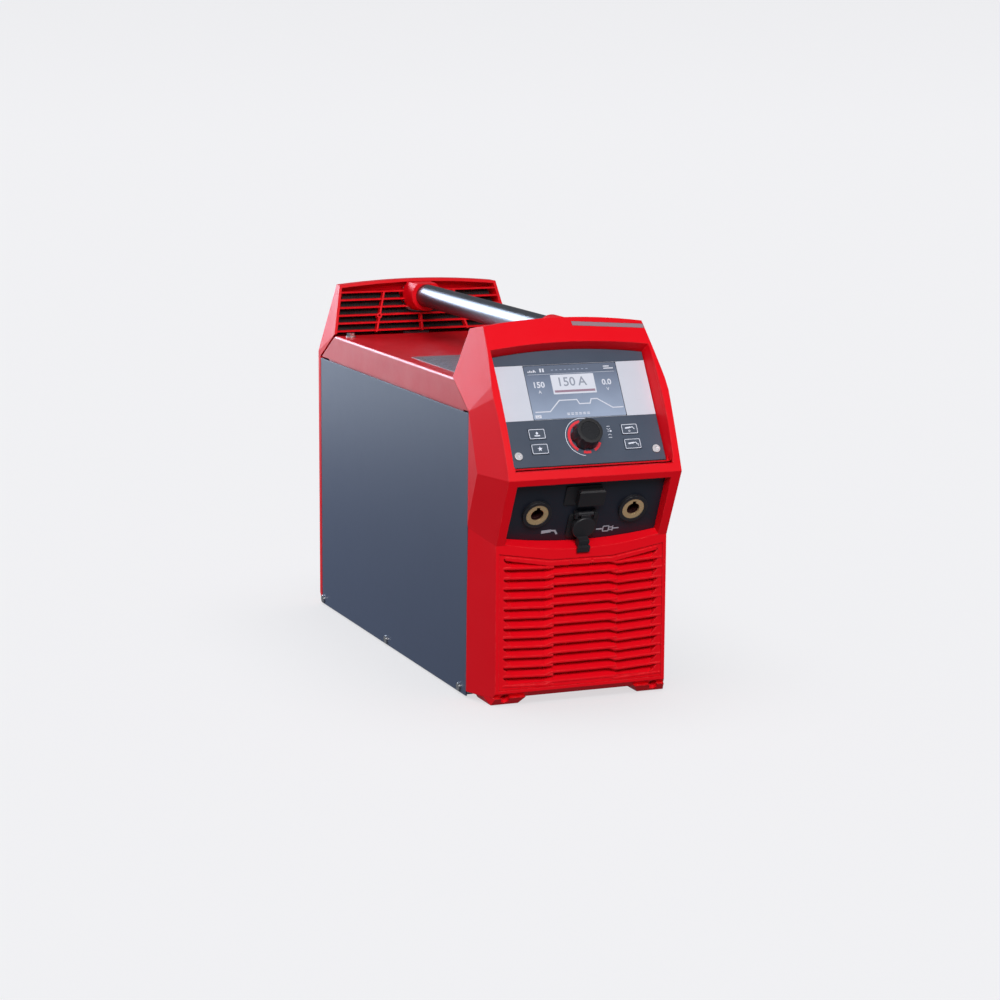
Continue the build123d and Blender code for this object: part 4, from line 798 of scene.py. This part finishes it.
# the plate's rules and word blocks glow faintly: a painted glow
rules = Print("rating_plate_rules", COVER, -PLATE_THICK, glowing_inks["dark"], slot_name="slate_overlay",
              thick=PLATE_INK_THICK)
for i in range(PLATE_ROWS + 1):
    y = PLATE_FIRST_RULE - i * PLATE_ROW_PITCH
    rules.box(PLATE_COLUMNS[0], PLATE_COLUMNS[-1], y - RULE_HALF, y + RULE_HALF)
table_foot = PLATE_FIRST_RULE - PLATE_ROWS * PLATE_ROW_PITCH
for x in PLATE_COLUMNS:
    rules.box(x - RULE_HALF, x + RULE_HALF, table_foot, PLATE_FIRST_RULE - 0.6)
# one block of uneven length in each cell, in place of words
for row in range(PLATE_ROWS):
    for col, column in enumerate(PLATE_COLUMNS[:-1]):
        begin = column + 3.0
        length = 6.0 + ((row * 7 + col * 5) % 9) * 2.0
        y = PLATE_FIRST_RULE - 8.0 - row * PLATE_ROW_PITCH
        rules.box(begin, begin + min(length, WORD_LONGEST), y - WORD_HALF, y + WORD_HALF)
rules.done()


# ------------------------------------------------------------------ dark screen behind the louvre, painted shade
def louvre_line():
    """Foot and head (y, z) of the slats' front edges, in metres."""
    slats = nodes["rear_louvre"].data.vertices
    ends = [v.co for v in slats if abs(v.co.x) > SLAT_END_X * MM]
    foot_z, head_z = min(v.z for v in ends), max(v.z for v in ends)
    foot = min(v.y for v in ends if v.z < foot_z + SLAT_END_BAND * MM)
    head = min(v.y for v in ends if v.z > head_z - SLAT_END_BAND * MM)
    return (foot, foot_z), (head, head_z)


def painted_shade_screen():
    """Dark screen behind the slats, painted shade in the louvre's cavity: upright wires in front of a thin sheet,
    open round the boss.
    """
    (foot_y, foot_z), (head_y, head_z) = louvre_line()
    lean = Vector((0, head_y - foot_y, head_z - foot_z)).normalized()
    out = Vector((0, -lean.z, lean.y))
    behind = Vector((0, foot_y, foot_z)) - out * SCREEN_BEHIND * MM
    # from here on, u across, v up and lift are in millimetres on the screen
    boss = (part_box("handle_tube")[1].z - behind.z) / MM - HANDLE_RADIUS
    top = (head_z - foot_z) / MM + SCREEN_OVER
    half_top = SCREEN_HALF - SCREEN_TAPER

    def place(u, v, lift=0.0):
        return behind + (Vector((u, 0, 0)) + lean * v + out * lift) * MM

    verts, faces = [], []

    def add(points, quads):
        start = len(verts)
        verts.extend(points)
        faces.extend(tuple(i + start for i in q) for q in quads)

    notch = [
        (BOSS_CLEAR * math.cos(a), boss + BOSS_CLEAR * math.sin(a))
        for a in (math.pi + (math.pi * k / 16) for k in range(17))
    ]
    for side in (-1, 1):
        arcs = [(u, v) for u, v in notch if side * u >= -1e-9]
        arcs.sort(key=lambda p: p[1])
        outline = [(0, 0), (side * SCREEN_HALF, 0), (side * half_top, top), (side * BOSS_CLEAR, top)]
        outline += reversed(arcs)
        n = len(outline)
        points = [place(u, v, lift) for lift in (0, -SCREEN_THICK) for u, v in outline]
        quads = [tuple(range(n)), tuple(range(2 * n - 1, n - 1, -1))]
        quads += [(i, (i + 1) % n, n + (i + 1) % n, n + i) for i in range(n)]
        add(points, quads)
    corners = ((-WIRE / 2, 0), (WIRE / 2, 0), (0, WIRE))
    for k in range(1, math.ceil(half_top / WIRE_PITCH)):
        for side in (-1, 1):
            u = side * k * WIRE_PITCH
            end = top if abs(u) > BOSS_CLEAR else boss - math.sqrt(BOSS_CLEAR**2 - u * u)
            add(
                [place(u + across, v, lift) for v in (0, end) for across, lift in corners],
                [(0, 1, 4, 3), (1, 2, 5, 4), (2, 0, 3, 5), (0, 2, 1), (3, 4, 5)],
            )
    # near-black sheet where the cavity behind the slats lies in shade: painted shade
    shade_sheet = solid(
        "painted_shade_sheet", (0.006, 0.004, 0.005), 0.75, grain=600.0, grain_strength=0.4, mottle=0.3,
    )
    mesh_piece("louvre_shade_screen", verts, faces, shade_sheet, "housing")


painted_shade_screen()


# ------------------------------------------------------------------ seams beside the cover: dark strips of painted shade
def seam(name, side):
    """Dark strip in the joint between the cover and a side panel: painted shade in the gap."""
    panel_low, panel_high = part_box(name.replace("seam", "side_panel"))
    z0, z1 = panel_high.z - SEAM_LAP_PANEL * MM, cover_low.z + SEAM_LAP_COVER * MM
    x = side * max(abs(panel_low.x), abs(panel_high.x))
    y0, y1 = panel_low.y + SEAM_FRONT * MM, panel_high.y - SEAM_BACK * MM
    mid = (z0 + z1) / 2
    rim = ((SEAM_DEEP, z0), (SEAM_EDGE, z0), (SEAM_CROWN, mid), (SEAM_EDGE, z1), (SEAM_DEEP, z1))
    section = [(x - side * inset * MM, z) for inset, z in rim]
    verts = [(px, y, pz) for y in (y0, y1) for px, pz in section]
    n = len(section)
    faces = [(i, (i + 1) % n, n + (i + 1) % n, n + i) for i in range(n)]
    faces += [tuple(range(n)), tuple(range(2 * n - 1, n - 1, -1))]
    mesh_piece(name, verts, faces, made["feet_rubber"], "housing")


seam("seam_left", -1)
seam("seam_right", 1)


# ------------------------------------------------------------------ stage, lights, camera
def studio_floor():
    """Pale floor that curves up far away; it only shows itself and the soft contact shadow."""
    mat = solid(
        "floor", FLOOR_TONE, 0.95, mottle=0.003, grain=60.0, grain_strength=0.01, specular=0.0,
    )
    bsdf = next(n for n in mat.node_tree.nodes if n.type == "BSDF_PRINCIPLED")
    bsdf.inputs["Emission Color"].default_value = BACKDROP + (1.0,)
    bsdf.inputs["Emission Strength"].default_value = FLOOR_GLOW
    profile = [(0.0, 0.0), (FLOOR_REACH, 0.0)]
    for i in range(1, COVE_STEPS + 1):
        a = math.radians(90 * i / COVE_STEPS)
        profile.append((FLOOR_REACH + COVE * math.sin(a), COVE - COVE * math.cos(a)))
    profile.append((FLOOR_REACH + COVE, 3 * COVE))
    verts, faces = [], []
    for r, z in profile:
        for k in range(FLOOR_TURNS):
            a = 2 * math.pi * k / FLOOR_TURNS
            verts.append((r * math.cos(a), r * math.sin(a), z))
    for row in range(len(profile) - 1):
        for k in range(FLOOR_TURNS):
            a, b = row * FLOOR_TURNS, (row + 1) * FLOOR_TURNS
            after = (k + 1) % FLOOR_TURNS
            faces.append((a + k, b + k, b + after, a + after))
    data = bpy.data.meshes.new("floor")
    data.from_pydata(verts, [], faces)
    bm = bmesh.new()
    bm.from_mesh(data)
    bmesh.ops.remove_doubles(bm, verts=bm.verts, dist=0.0001)
    bm.to_mesh(data)
    bm.free()
    data.shade_smooth()
    floor = bpy.data.objects.new("floor", data)
    bpy.context.scene.collection.objects.link(floor)
    data.materials.append(mat)
    # the object stands in a dark studio: the floor lends it neither light nor reflections
    floor.visible_diffuse = floor.visible_glossy = floor.visible_shadow = False
    return floor


def softbox(name, place, aim, size, power, tint):
    """Rectangular studio light that the camera and the floor don't see."""
    data = bpy.data.lights.new(name, "AREA")
    data.shape = "RECTANGLE"
    data.size, data.size_y = size
    data.energy = power
    data.color = tint
    obj = bpy.data.objects.new(name, data)
    obj.location = place
    obj.rotation_euler = (Vector(aim) - Vector(place)).to_track_quat("-Z", "Y").to_euler()
    bpy.context.scene.collection.objects.link(obj)
    obj.visible_camera = False
    link_light(obj, "EXCLUDE")


def link_light(light, state):
    """Keep a light off the floor with EXCLUDE, or on the floor alone with INCLUDE."""
    group = bpy.data.collections.new(light.name + "_floor")
    group.objects.link(floor)
    group.collection_objects[0].light_linking.link_state = state
    light.light_linking.receiver_collection = group


floor = studio_floor()
for light in SOFTBOXES:
    softbox(*light)
# broad overhead light that only draws the soft contact shadow on the floor
sun = bpy.data.objects.new("floor_sun", bpy.data.lights.new("floor_sun", "SUN"))
sun.data.energy = FLOOR_SUN
sun.data.angle = math.radians(FLOOR_SUN_ANGLE)
bpy.context.scene.collection.objects.link(sun)
link_light(sun, "INCLUDE")

world = bpy.data.worlds.new("studio")
world.use_nodes = True
world.node_tree.nodes["Background"].inputs["Color"].default_value = AMBIENT + (1.0,)
bpy.context.scene.world = world

azimuth, elevation, roll = (math.radians(turn) for turn in CAMERA_TURN)
flat = math.cos(elevation)
back = Vector((math.sin(azimuth) * flat, -math.cos(azimuth) * flat, math.sin(elevation)))
right = (-back).cross(Vector((0, 0, 1))).normalized()
up = right.cross(-back)
cam_right = right * math.cos(roll) + up * math.sin(roll)
cam_up = up * math.cos(roll) - right * math.sin(roll)
target = Vector(CAMERA_AIM) + right * CAMERA_AIM_RIGHT
camera = bpy.data.cameras.new("camera")
camera.sensor_width = CAMERA_SENSOR
camera.lens = CAMERA_LENS
camera.clip_end = CAMERA_CLIP
cam = bpy.data.objects.new("camera", camera)
cam.matrix_world = Matrix.Translation(target + back * CAMERA_DISTANCE) @ Matrix(
    (
        (cam_right.x, cam_up.x, back.x, 0),
        (cam_right.y, cam_up.y, back.y, 0),
        (cam_right.z, cam_up.z, back.z, 0),
        (0, 0, 0, 1),
    )
)
bpy.context.scene.collection.objects.link(cam)
bpy.context.scene.camera = cam
bpy.context.scene.view_settings.view_transform = "Standard"
